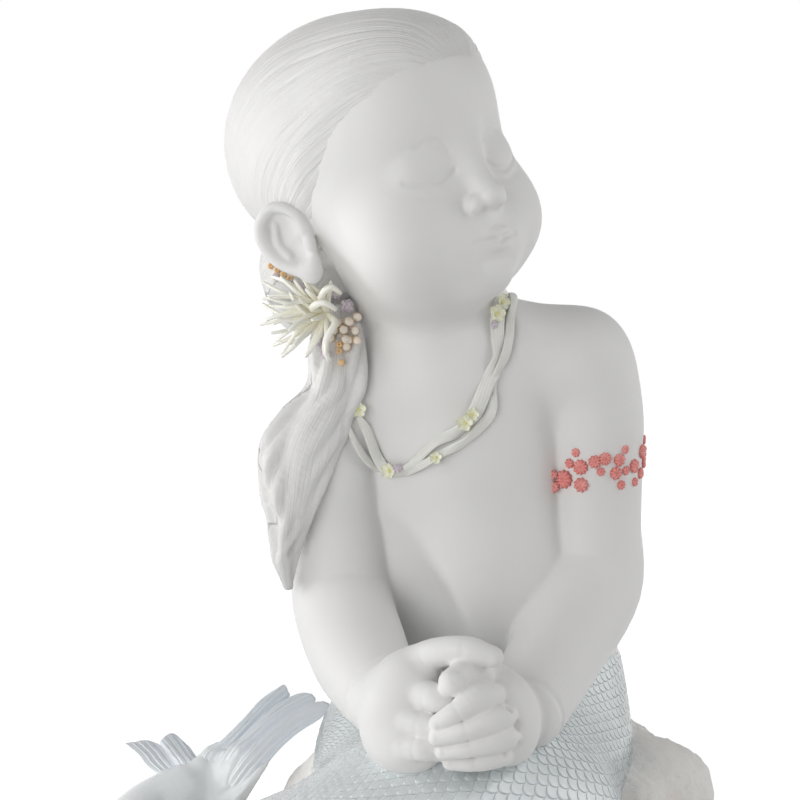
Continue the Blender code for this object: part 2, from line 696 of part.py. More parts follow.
def clear_of_body(clay, body):
    """Carves the coarse body out of a fine piece, reading its distances between grid points."""
    axes = [clay.low[i] + clay.grain * np.arange(clay.depth.shape[i]) for i in range(3)]
    places = [(axes[i] - body.low[i]) / body.grain for i in range(3)]
    corner = [np.clip(np.floor(p).astype(int), 0, n - 2) for p, n in zip(places, body.depth.shape)]
    share = [np.clip(p - c, 0, 1).astype(np.float32) for p, c in zip(places, corner)]
    field = 0
    for step in np.ndindex(2, 2, 2):
        picked = body.depth[np.ix_(*[c + s for c, s in zip(corner, step)])]
        weights = [w if s else 1 - w for w, s in zip(share, step)]
        field = field + picked * weights[0][:, None, None] * weights[1][None, :, None] * weights[2]
    clay.depth = np.maximum(clay.depth, 2.2 * GAP - field)


def anemone_rows():
    root = np.array(ORNAMENT_ROOT, float)
    rows = []
    for i, tip in enumerate(ANEMONE_TIPS):
        tip = np.array(tip, float)
        lift = np.array((0.0, -2.5, 1.5 * math.sin(2.1 * i)))
        rows.append((
            (*root, 2.2),
            (*(root + 0.45 * (tip - root) + lift), 1.3),
            (*(root + 0.8 * (tip - root) + 0.6 * lift), 1.1),
            (*tip, 0.8),
        ))
    return rows


def rosette(name, radius, lobes, depth, dimple, flare):
    """A lobed button from a sphere: flat back on its own XY plane, outward +Z."""
    mesh = bpy.data.meshes.new(name)
    bm = bmesh.new()
    bmesh.ops.create_uvsphere(bm, u_segments=2 * lobes, v_segments=3, radius=1)
    for v in bm.verts:
        on_ring = math.hypot(v.co.x, v.co.y) > 0.5
        lobe = 1 + flare * math.cos(lobes * math.atan2(v.co.y, v.co.x))
        if v.co.z > 0:
            v.co.z = depth if on_ring else depth * (1 - dimple)
            spread = 0.8
        else:
            v.co.z = 0
            spread = 1.15
        v.co.x *= radius * lobe * spread
        v.co.y *= radius * lobe * spread
    bm.to_mesh(mesh)
    bm.free()
    mesh.shade_smooth()
    return bpy.data.objects.new(name, mesh)


def frame_at(point, normal, spin):
    """A place on a surface with +Z along its normal."""
    turn = Vector(normal).to_track_quat("Z", "Y").to_matrix().to_4x4()
    return Matrix.Translation(point) @ turn @ Matrix.Rotation(spin, 4, "Z")


def clear_height(surface, point, normal, radius):
    """How far the surface stands above the plane through a point, over a small disc."""
    side = Vector(normal).orthogonal().normalized()
    tallest = 0.0
    for k in range(12):
        for share in (0.4, 0.75, 1.1):
            ray = Matrix.Rotation(k * math.pi / 6, 3, normal) @ side
            start = point + ray * radius * share + normal * 6
            hit = surface.ray_cast(start, -normal, 12)[0]
            if hit:
                tallest = max(tallest, (hit - point).dot(normal))
    return tallest


def seat_on(obj, surface, point, normal, radius, spin):
    """Puts a small piece on the surface with the joint gap under it."""
    lift = clear_height(surface, point, normal, radius) + GAP
    obj.matrix_world = Matrix.Scale(MM, 4) @ frame_at(point + normal * lift, normal, spin)


def add_arm_corals(collection, surface):
    for i, (degrees, height, radius) in enumerate(ARM_CORALS):
        angle = math.radians(degrees)
        outward = Vector((math.sin(angle), -math.cos(angle), 0))
        axis = Vector((66.4, 8, height))
        inward = -outward if degrees > -10 else Vector((0, 1, 0))
        point, facing = surface.ray_cast(axis + outward * 15 - inward * 30, inward, 40)[:2]
        facing = (facing + outward * 2).normalized()
        obj = rosette(f"arm_coral_{i + 1:02d}", radius, 6, 0.6 * radius, 0.3, 0.08)
        add_to(collection, obj, "coral")
        seat_on(obj, surface, point, facing, radius, 0.7 * i)


def necklace_line(surface):
    """Points along the necklace on the skin, each with its outward and its sideways direction."""
    guide = spline([(*row, 0) for row in NECKLACE_GUIDE], 12)[:, :3]
    steps = np.linalg.norm(np.diff(guide, axis=0), axis=1)
    along = np.concatenate([[0], np.cumsum(steps)])
    even = np.linspace(0, along[-1], 4 * RIBBON_STEPS + 1)
    guide = np.column_stack([np.interp(even, along, guide[:, i]) for i in range(3)])
    feet = [surface.find_nearest(Vector(p)) for p in guide]
    points = np.array([foot[0] for foot in feet])
    normals = np.array([foot[1] for foot in feet])
    for _ in range(12):
        normals[1:-1] = (normals[:-2] + 2 * normals[1:-1] + normals[2:]) / 4
        points[1:-1] = (points[:-2] + 2 * points[1:-1] + points[2:]) / 4
    normals /= np.linalg.norm(normals, axis=1)[:, None]
    runs = np.gradient(points, axis=0)
    sides = np.cross(normals, runs)
    sides /= np.linalg.norm(sides, axis=1)[:, None]
    return points, normals, sides


def on_skin(surface, point, normal):
    start = Vector(point) + Vector(normal) * 7
    hit = surface.ray_cast(start, -Vector(normal), 14)[0]
    return np.array(hit) if hit else np.array(point)


def add_ribbon(collection, surface, line, name, phase):
    """One flat ribbon of the twisted pair: it swings from side to side and passes over and under its twin."""
    points, normals, sides = line
    mesh = bpy.data.meshes.new(name)
    bm = bmesh.new()
    bmesh.ops.create_grid(bm, x_segments=RIBBON_STEPS, y_segments=1, size=1)
    for v in bm.verts:
        share = (v.co.x + 1) / 2
        k = round(share * (len(points) - 1))
        turn = 2 * math.pi * RIBBON_TURNS / 2 * share + phase
        sideways = RIBBON_SWING * math.sin(turn) + 0.5 * RIBBON_WIDTH * v.co.y
        rise = 0.5 * (1 + math.tanh(3 * math.cos(turn))) * (RIBBON_THICK + 2.4 * GAP)
        foot = on_skin(surface, points[k] + sides[k] * sideways, normals[k])
        v.co = foot + normals[k] * (rise + 1.6 * GAP)
    bm.to_mesh(mesh)
    bm.free()
    mesh.transform(Matrix.Scale(MM, 4))
    mesh.shade_smooth()
    obj = add_to(collection, bpy.data.objects.new(name, mesh), "ribbon")
    thick = obj.modifiers.new("thickness", "SOLIDIFY")
    thick.thickness = RIBBON_THICK * MM
    thick.offset = 1
    return obj


def add_necklace_trim(collection, surface, ribbons):
    """Flowers and lilac buds, each on the topmost ribbon behind it."""
    over = surface_of(ribbons)
    kinds = (
        ("necklace_flower", NECKLACE_FLOWERS, "petal", 5, 0.6, 0.2),
        ("necklace_bud", NECKLACE_BUDS, "lilac", 4, -0.3, 0.05),
    )
    for kind, rows, slot, lobes, dimple, flare in kinds:
        for i, (x, height, radius) in enumerate(rows):
            start = Vector((x, -150, height))
            hits = [tree.ray_cast(start, Vector((0, 1, 0))) for tree in (over, surface)]
            point = min((hit[0] for hit in hits if hit[0]), key=lambda place: place.y)
            normal = hits[1][1]
            lift = max(clear_height(tree, point, normal, radius) for tree in (over, surface))
            obj = rosette(f"{kind}_{i + 1}", radius, lobes, 0.45 * radius, dimple, flare)
            add_to(collection, obj, slot)
            obj.matrix_world = Matrix.Scale(MM, 4) @ frame_at(point + normal * (lift + GAP), normal, 1.1 * i)


def resting(surface, rows, lift=GAP):
    """Balls given by x, height and radius, moved back until they rest on the surface: (x, y, z, radius) rows."""
    placed = []
    for x, height, radius in rows:
        point, normal = surface.ray_cast(Vector((x, -150, height)), Vector((0, 1, 0)))[:2]
        placed.append((*(point + normal * (radius + lift)), radius))
    return placed


def add_hair_ornament(collection, body, surface):
    """Pearls, golden beads and drop, and the anemone over them, each one fused piece."""
    pearls = resting(surface, PEARLS)
    heart = (*np.mean([row[:3] for row in pearls], axis=0), 1.0)
    cluster = sculpt_trim(
        collection, body, "hair_pearls", "pearl", [(row, heart) for row in pearls], PEARL_TRIANGLES
    )
    drop = sculpt_trim(
        collection, body, "hair_gold_drop", "gold", [resting(surface, GOLD_DROP, 0.7)], DROP_TRIANGLES, avoid=(cluster,)
    )
    sculpt_trim(collection, body, "hair_gold_beads", "gold", [resting(surface, GOLD_BEADS)], BEAD_TRIANGLES)
    corals = Clay(cluster.low - 80 * TRIM_GRAIN, cluster.low + 60 * TRIM_GRAIN, TRIM_GRAIN)
    for row in resting(surface, HAIR_CORALS):
        corals.melt(blob(row[:3], (row[3],) * 3))
    sculpt_trim(
        collection, body, "hair_anemone", "anemone", anemone_rows(), ANEMONE_TRIANGLES, 0.5, (cluster, drop, corals)
    )
    add_hair_corals(collection, surface)


def add_hair_corals(collection, surface):
    for i, (x, y, z, radius) in enumerate(resting(surface, HAIR_CORALS)):
        mesh = bpy.data.meshes.new(f"hair_coral_{i + 1}")
        bm = bmesh.new()
        bmesh.ops.create_icosphere(bm, subdivisions=2, radius=radius)
        for j, v in enumerate(bm.verts):
            v.co *= 1.0 - 0.12 * (j % 3 == 0)
        bm.to_mesh(mesh)
        bm.free()
        mesh.shade_smooth()
        obj = bpy.data.objects.new(f"hair_coral_{i + 1}", mesh)
        obj.matrix_world = Matrix.Scale(MM, 4) @ Matrix.Translation((x, y, z))
        add_to(collection, obj, "lilac")


def main():
    for obj in list(bpy.data.objects):
        bpy.data.objects.remove(obj)
    parts = bpy.data.collections.new("mermaid_figurine")
    cutters = bpy.data.collections.new("cutters")
    for collection in (parts, cutters):
        bpy.context.scene.collection.children.link(collection)
    cutters.hide_render = True

    body, upper_body, tail = sculpt_figure(parts)
    sculpt_rock(parts, cutters, tail)
    surface = surface_of([upper_body])
    add_arm_corals(parts, surface)
    line = necklace_line(surface)
    ribbons = [
        add_ribbon(parts, surface, line, "necklace_ribbon_1", 0.0),
        add_ribbon(parts, surface, line, "necklace_ribbon_2", math.pi),
    ]
    add_necklace_trim(parts, surface, ribbons)
    add_hair_ornament(parts, body, surface)


main()
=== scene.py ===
"""Looks for the porcelain mermaid child: bisque skin and combed hair, glazed scales, a pleated
fluke, a sandy rock, and the ribbon necklace, arm corals and sea-flower ornament.

Tables are in millimetres, in the same frame as the solids.
"""

import json
import math

import bpy
import numpy as np
import openvdb
from mathutils import Euler, Matrix, Vector

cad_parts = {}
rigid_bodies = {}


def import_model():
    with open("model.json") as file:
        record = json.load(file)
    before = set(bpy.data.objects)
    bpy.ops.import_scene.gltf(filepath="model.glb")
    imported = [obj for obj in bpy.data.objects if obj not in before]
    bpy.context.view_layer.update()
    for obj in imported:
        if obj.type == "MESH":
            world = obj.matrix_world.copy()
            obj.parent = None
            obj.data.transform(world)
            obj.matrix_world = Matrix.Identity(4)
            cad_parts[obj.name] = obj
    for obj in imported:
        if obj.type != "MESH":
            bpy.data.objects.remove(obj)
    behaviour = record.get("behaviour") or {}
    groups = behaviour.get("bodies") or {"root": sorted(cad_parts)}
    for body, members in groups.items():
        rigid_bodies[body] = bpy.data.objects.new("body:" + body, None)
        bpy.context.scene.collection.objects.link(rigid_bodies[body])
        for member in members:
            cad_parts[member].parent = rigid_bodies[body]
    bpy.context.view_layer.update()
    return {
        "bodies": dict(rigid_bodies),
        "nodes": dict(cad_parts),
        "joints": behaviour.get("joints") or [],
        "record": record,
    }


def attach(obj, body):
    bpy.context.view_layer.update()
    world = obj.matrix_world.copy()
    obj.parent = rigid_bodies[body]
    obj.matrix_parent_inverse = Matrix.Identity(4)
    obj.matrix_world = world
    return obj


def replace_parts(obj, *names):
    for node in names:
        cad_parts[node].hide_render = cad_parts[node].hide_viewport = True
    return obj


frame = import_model()

MM = 0.001
FAR = 1000.0
COARSE = 1.0

# grid step of each sculpted piece
HEAD_GRAIN = 0.6 * COARSE
HAIR_GRAIN = 0.77 * COARSE
BODY_GRAIN = 1.05 * COARSE
HAND_GRAIN = 0.55 * COARSE
TAIL_GRAIN = 0.99 * COARSE
ROCK_GRAIN = 1.7 * COARSE

# lowest and highest corner of each piece's grid
HAIR_BOX = ((-68, -64, 132), (54, 66, 334))
HEAD_BOX = ((-66, -68, 210), (56, 66, 334))
BODY_BOX = ((-44, -66, 106), (90, 60, 262))
HAND_BOX = ((-26, -101, 82), (62, -46, 144))
TAIL_BOX = ((-124, -112, 2), (104, 84, 118))
ROCK_BOX = ((-124, -96, -8), (130, 96, 112))

# y of a plane in front of the head and chest, and of one in front of the hands too: level lines
# toward the figure start there
VIEWER_Y = -75
HAND_VIEWER_Y = -110
WAIST_HEIGHT = 112.0
HEAD_PLACE = (-6.0, 1.0, 281.0)
HEAD_YAW = 43.0
HEAD_PITCH = 13.0
HEAD_ROLL = 9.0
HEAD_SCALE = 0.99

# x, y, z and radius along each arm, shoulder to wrist
LEFT_ARM = (
    (63, 8, 214, 15),
    (67, 8, 197, 16.2),
    (66.6, 8, 178, 16.8),
    (66.2, 6, 158, 16.8),
    (65, 0, 138, 18),
    (53, -26, 122, 16),
    (46, -42, 114, 14.6),
    (41, -54, 108, 13),
)
RIGHT_ARM = (
    (-19.5, 0, 198, 13),
    (-22, -2, 178, 15),
    (-21, 0, 158, 15.6),
    (-19.8, -5, 134, 17),
    (-14, -30, 122, 16.5),
    (-9, -46, 116, 14.8),
    (-5, -57, 113, 13.4),
)

# x, y, z and radius of the space between the belly and the right forearm
FOREARM_HOLLOW = (
    (-6, -14, 156, 5), (-1, -18, 146, 10), (4, -21, 132, 14), (7, -24, 118, 16), (7, -26, 104, 16),
)

# x, y, z and radius of each finger, knuckle to tip
LEFT_FINGERS = (
    (
        (30.5, -76.5, 118.6, 3.9), (24.9, -86, 120.3, 4.9),
        (17.7, -89.3, 116.6, 3.6), (11.9, -88, 112.6, 2.9),
    ),
    (
        (35.0, -76.5, 112.3, 3.7), (29.6, -86.6, 113.7, 4.7),
        (20.2, -90.3, 110.7, 3.3), (11.5, -88.6, 107.9, 2.7),
    ),
    (
        (36.4, -76, 105.6, 3.6), (31.2, -86, 107.0, 4.5),
        (21.8, -89.4, 105.0, 3.1), (13.4, -87.6, 103.2, 2.6),
    ),
    (
        (34.4, -74.5, 99.2, 3.3), (29.7, -83.6, 100.8, 4.0),
        (23.2, -86.2, 99.4, 2.9), (15.7, -85, 99.1, 2.5),
    ),
)
RIGHT_FINGERS = (
    ((6.3, -77, 119.1, 5.2), (11.9, -82, 119.0, 4.6), (16.3, -81, 116.2, 4.0)),
    ((3, -79, 111, 5.0), (9, -82.5, 110, 4.4), (16, -82, 108, 4.0)),
    ((2, -80, 103, 4.8), (8.1, -84, 103.3, 4.0), (14, -82, 102, 3.4)),
)
LEFT_THUMB = (
    (29, -66, 121, 6.2), (25.4, -72, 124, 5.4), (20.7, -80, 126.3, 4.9), (16.5, -85, 124.8, 4.6),
)
RIGHT_THUMB = (
    (3.8, -64, 123.5, 6.4), (10.1, -72, 130.5, 5.2), (20.8, -78, 133.7, 4.3), (29.2, -80, 131.8, 3.4),
)

# x, y, z and radius down the middle of the gathered hair
PONYTAIL = (
    (-23, 5, 245, 9.5), (-21.5, -1, 234, 9.5), (-20.5, -6, 223, 8.5), (-20.5, -11, 213, 7.5),
    (-24.5, -15, 202, 9.3), (-30, -19, 192, 11.8), (-33, -20, 183, 11.8), (-35, -20, 169, 9.6),
    (-36, -18, 158, 6.3), (-37, -17, 150, 4.2), (-37, -15, 142, 1.6),
)
# height, left and right edge, and y of the front of the gathered hair
HAIR_EDGES = (
    (229.1, -27.0, -13.1, -4), (219.4, -30.6, -12.4, -8), (207.9, -31.5, -12.4, -13),
    (200.5, -38.1, -15.4, -16), (192.9, -44.0, -17.7, -19), (186.3, -46.7, -21.3, -20),
    (179.6, -47.4, -24.3, -20.5), (171.1, -46.1, -27.4, -20), (164.1, -43.5, -29.8, -19),
    (157.1, -43.0, -33.6, -18), (150.0, -42.0, -37.0, -17), (140.7, -38.5, -37.1, -15),
)
LOCKS = 7
STRANDS = (-1, 0, 1)

# x, y, z and radius of the tail, lap to the root of the fluke
TAIL_CURL = (
    (12, -52, 62, 39),
    (-14, -62, 57, 33),
    (-42, -58, 50, 27),
    (-66, -46, 44, 21),
    (-86, -27, 42, 17.5),
    (-94, -5, 44, 15),
    (-88, 12, 51, 13),
    (-76, 19, 58, 11),
)
# x, y, z along each band of the necklace, from under the gathered hair across the chest to the nape
RIBBON_PATHS = (
    (
        (-19, -12, 199), (-16.1, -14, 190.3), (-12.1, -13.7, 183.6), (-7.4, -11.4, 180.8),
        (-3.7, -12.2, 179.7), (-0.3, -13.6, 178.7), (2.7, -16, 180), (8.4, -17.1, 182.8),
        (15, -18.1, 187), (21.4, -17.6, 190), (24.7, -16.9, 193.2), (30, -14.6, 198.6),
        (31.1, -13.4, 203.2), (29.9, -13, 207), (30.8, -12.3, 211.2), (33.6, -11.1, 215.4),
        (35.6, -7.7, 220.1), (36.8, -4.1, 226.1), (37, -2, 230.3), (38, 6, 233), (36.5, 18, 233),
        (26, 36, 231.5), (10, 42, 227.5), (-8, 36, 223),
    ),
    (
        (-18, -12, 206), (-14, -16, 199.1), (-10.7, -13.6, 193.1), (-8.7, -12.5, 186.1),
        (-5.4, -11.4, 181.2), (-1.3, -12.9, 178.7), (2.7, -16, 180.8), (6.7, -16, 184.9),
        (12.4, -16.7, 190.4), (19.7, -17.1, 193.9), (24.2, -15.7, 198.8), (27, -14.8, 205),
        (29.1, -14, 210), (31.8, -11.1, 214.4), (32.8, -9.2, 220.2), (32.8, -6.4, 226.7),
        (32.4, -3.9, 231.1), (33.4, 1.3, 235.3), (34.5, 10, 236), (33, 20, 235), (24, 34, 229),
        (8, 40.5, 224), (-9, 35, 219.5),
    ),
)
# half width along each band
RIBBON_WIDTHS = (
    (1.4, 1.7, 1.5, 1.9, 1.6, 1.5, 1.6, 2.0, 2.0),
    (1.6, 2.0, 1.6, 2.6, 2.8, 2.3, 2.4, 2.5, 2.5),
)
RIBBON_POINTS = 230

# x, height and radius of each, as seen from the front
NECKLACE_FLOWERS = (
    (32.3, 234.8, 2.3),
    (31.2, 231.0, 2.5),
    (23.6, 199.4, 2.0),
    (21.3, 196.4, 2.4),
    (12.4, 185.2, 1.8),
    (-2.2, 180.2, 2.2),
    (-14.4, 200.4, 2.3),
)
# the angle that spreads grains evenly over a bud
GOLDEN_TURN = 2.39996
NECKLACE_BUDS = ((30.8, 227.4, 1.1), (0.6, 181.2, 1.4), (-14.6, 204.6, 1.3))

# degrees round the arm from straight ahead toward the outside, height, radius
ARM_CORALS = (
    (-25, 185.0, 1.5), (-33, 181.1, 1.6), (-19, 180.1, 2.5), (-62, 177.1, 1.5), (-40, 175.6, 3.0),
    (-60, 172.8, 1.9), (-18, 174.1, 2.4), (-2, 182.1, 2.1), (10, 183.1, 2.1), (5, 178.7, 1.4),
    (28, 182.5, 2.1), (36, 185.9, 1.4), (23, 178.0, 2.1), (37, 178.6, 1.5), (30, 173.9, 1.5),
    (51, 179.7, 2.2), (84, 187.4, 1.6), (70, 184.0, 2.2), (82, 179.8, 2.1), (66, 176.6, 1.8),
    (52, 174.2, 1.4), (84, 175.6, 1.0), (104, 184, 1.9), (120, 178.5, 2.2), (140, 183, 1.8),
    (160, 178, 2.1), (182, 182, 1.8), (202, 178, 2.0),
)
# x and y of the middle of the arm under them, and its radius
ARM_MIDDLE = (66.4, 8)
ARM_RADIUS = 16.4

ORNAMENT_ROOT = (-25, -13, 234)
# tip of each anemone arm
ANEMONE_TIPS = (
    (-45.4, -11, 242.0), (-45.2, -15, 239.0), (-45.8, -10, 235.2), (-44.1, -19, 231.8),
    (-46.4, -13, 229.1), (-42.1, -12, 221.9), (-39.2, -19, 220.8), (-39.0, -22, 218.8),
    (-31.0, -26, 221.3), (-24.3, -28, 220.5), (-34.9, -15, 245.4), (-32.7, -19, 245.1),
    (-30.2, -16, 244.1), (-22.9, -16, 242.5), (-42.8, -8, 245.7), (-42.9, -21, 238.0),
    (-42.3, -22, 227.8), (-36.1, -28, 229.1), (-32.9, -24, 238.6), (-28.6, -27, 233.0),
    (-27.0, -22, 238.4), (-36.3, -20, 241.5), (-44.2, -6, 233.6), (-41.0, -14, 225.4), (-36.4, -17, 222.0),
    (-43.6, -17, 240.6), (-39.4, -14, 243.8), (-40.2, -25, 233.4), (-37.8, -26, 236.4), (-34.6, -28, 225.0),
    (-29.4, -23, 223.6), (-41.4, -24, 230.6), (-35.4, -23, 239.4), (-30.8, -21, 240.8),
)
# x, height and radius of each, as seen from the front
HAIR_CORALS = (
    (-18.7, 234.0, 2.1), (-21.7, 238.3, 1.5), (-27.2, 222.9, 1.6), (-24.2, 218.5, 1.7),
    (-36.3, 242.5, 1.5),
)
# two more buds beside the last one
SIDE_BUDS = ((-40.6, 244.8, 1.3), (-32.2, 241.5, 1.5))
PEARLS = (
    (-20.9, 228.6, 1.5), (-17.2, 229.4, 1.5), (-15.1, 229.9, 1.5), (-21.9, 226.2, 1.5),
    (-18.7, 226.7, 1.45), (-15.2, 226.1, 1.45), (-22.7, 223.7, 1.45), (-18.6, 223.9, 1.45),
    (-16.6, 223.2, 1.4), (-14.6, 223.1, 1.4), (-18.6, 221.4, 1.4),
)
GOLD_BEADS = ((-42.6, 247.9, 1.1), (-40.6, 246.7, 1.1), (-38.6, 245.5, 1.1), (-36.6, 244.2, 1.2))
GOLD_DROP = ((-20.3, 222.0, 1.15), (-20.5, 219.9, 1.05), (-19.7, 216.0, 1.25))

# where the combed hair is gathered, behind and below the ear
GATHER = (-27, 8, 247)
# the point on the brow that the combed lines fan out from
PARTING = (24.5, -31, 311)
# the roll of hair round the nape to the gather, in the head's own frame: x, y, z and radius
NAPE_ROLL = ((36, 22, -14, 8), (20, 40, -28, 9), (-8, 42, -36, 10), (-26, 30, -38, 9.5))

# the head's fine skin fills a ball of this radius, and the hands' starts in front of this plane
HEAD_REACH = 66.0
HAND_PLANE = -50.0
# how far a coarse skin runs on under a fine one, and how deep skin under hair is left out
HAND_OVER = 4
BURIED = 1.3

# centre, axis, radius, first and last angle of each soft crease in the arms
CREASES = (
    ((41.5, -55, 107.6), (-0.4, -0.9, -0.35), 13.2, 60, 250),
    ((-5, -57, 113), (0.35, -0.92, -0.2), 13.6, 100, 290),
)

# x, y, z and radius along the middle of the lap and the curl
TAIL_AXIS = (
    (34, 34, 112, 40),
    (32, 10, 88, 42),
    (24, -22, 70, 42),
    (8, -48, 62, 39),
    (-14, -62, 57, 33),
    (-42, -58, 50, 27),
    (-66, -46, 44, 21),
    (-86, -27, 42, 17.5),
    (-94, -5, 44, 15),
    (-88, 12, 51, 13),
    (-76, 19, 58, 11),
    (-68, 22, 66, 11),
)
# the way that the finger nails face, and x and height of the dimples over the left hand's knuckles
NAIL_FACING = (0.1, -1.0, 0.35)
KNUCKLES = ((34.1, 117.1), (36.7, 110.3), (37.1, 104.0), (33.0, 102.0))
# scales in a turn, their length to their width, their height, and how softly rows follow the curl
SCALES_ROUND = 66
SCALE_STRETCH = 0.6
SCALE_HEIGHT = 0.42
SCALE_SOFT = 13.0

# directions of the hairline from the middle of the head: degrees round from the crown, and degrees
# off the way that the face looks
HAIRLINE_MIDDLE = (0, 5, -5)
HAIRLINE_ROUND = (0, 20, 29, 45, 61, 78, 97, 106, 120)
HAIRLINE_OFF = (27, 28, 33, 39, 51.5, 59.5, 73, 78, 84)
# each half of the fluke: its number of leaves, how far its first and last side fall short, and
# x, y, z along a few lines of it, root to tip
FLUKE = (
    (3, (0.08, 0.06), (
        (
            (-72, 19, 54), (-70.5, 22, 70), (-64.4, 25, 75.5),
            (-57.1, 29, 82.5), (-49.5, 34, 89.7), (-43.6, 38, 92.7),
        ),
        (
            (-71, 18, 54), (-66.7, 21, 70.4), (-61.9, 24.5, 73.8),
            (-53.7, 31, 82.7), (-46.7, 36, 89.5), (-41.8, 40, 93.3),
        ),
        (
            (-70, 17, 54), (-62.9, 20, 71.2), (-59.8, 24, 72.9),
            (-50.5, 32, 81.4), (-44.6, 37, 86.3), (-39.7, 41, 89.7),
        ),
        (
            (-68, 16, 54), (-60.9, 19, 71.4), (-55.5, 25, 75.9),
            (-45.9, 34, 84.1), (-39.7, 40, 87.4), (-34.8, 44, 89),
        ),
        (
            (-66, 15, 53), (-57.9, 17, 71.9), (-52.6, 24, 77.3),
            (-44.5, 33, 82.9), (-36.1, 40, 85.5), (-29.8, 45, 86.8),
        ),
        (
            (-64, 13, 53), (-55, 15, 69.6), (-48.9, 20, 75.5),
            (-40.7, 28, 80.6), (-33.1, 35, 84.2), (-26, 40, 85.9),
        ),
        (
            (-63, 12, 52), (-52.1, 13, 65.1), (-46.6, 16, 70.8),
            (-41.1, 21, 75.9), (-34.2, 27, 80.1), (-23.7, 34, 84.1),
        ),
    )),
    (2, (-0.09, 0.1), (
        ((-70, 18, 54), (-85, 19, 64.8), (-89.7, 20, 68.2), (-92.6, 21, 71.5), (-97.7, 23, 75.4)),
        ((-70, 18, 54), (-81.6, 20, 66), (-85.2, 22, 70.5), (-88.9, 24, 74), (-91.1, 25, 76.3)),
        ((-70, 18, 54), (-78.7, 20, 66.7), (-81.1, 23, 71), (-83.8, 26, 74.5), (-85.6, 27, 76.5)),
        ((-70, 18, 54), (-75.9, 20, 67.4), (-77.6, 24, 71.1), (-80, 28, 74.7), (-81.6, 30, 77.5)),
        ((-70, 18, 54), (-70.2, 20, 68.2), (-72.2, 24, 70.3), (-75, 28, 73.2), (-77.7, 31, 76.8)),
    )),
)
LEAF_ROWS = 40
FIN_COLUMNS = 48
# height of the step where one leaf lies over the next, the share of a leaf that the step takes, how
# much of steps and ribs is kept, and how much shorter a leaf's sides are than its middle
LEAF_STEP = 2.3
STEP_SHARE = 0.09
FIN_RELIEF = 0.8
LEAF_ROUND = 0.12

# x, y, z and radius along the arms that curl over the middle of the sea flower
CURLED_ARMS = (
    ((-24, -16, 233, 1.2), (-26, -22, 239, 1.2), (-23, -25, 243, 1.1), (-19.5, -22, 240.5, 0.7)),
    (
        (-24, -18, 233, 1.1), (-21.4, -24, 231, 1.2), (-24, -26, 226.5, 1.2), (-24.6, -26, 222, 1.1),
        (-23.2, -25, 218.4, 0.8),
    ),
    ((-25, -16, 234, 1.2), (-29, -23, 236, 1.3), (-25, -27, 238, 1.1), (-21, -25, 235.5, 0.8)),
)

# camera, light and floor in metres: the point looked at, its distance, and the width seen there
AIM = (0, 0, 0.202)
CAMERA_REACH = 0.9
CAMERA_TILT = 8.0
FRAME_WIDTH = 0.272
SENSOR_WIDTH = 36  # millimetres
FLOOR_REACH = 4
WORLD_LIGHT = 0.075
# the share of the floor's look that is plain glow, and how strong the glow is
FLOOR_GLOW = 0.76
GLOW_STRENGTH = 1.3
# name, degrees round from the front toward the right, degrees up, distance, size and power
LAMPS = (
    ("left_softbox", -95, 5, 1.3, 0.9, 8.4),
    ("upper_left_softbox", -60, 35, 1.3, 0.9, 3.6),
    ("front_softbox", -27, 5, 1.3, 0.9, 7.0),
    ("upper_right_softbox", 74, 38, 1.3, 0.9, 4.5),
    ("right_softbox", 105, 5, 1.3, 0.9, 4.6),
)


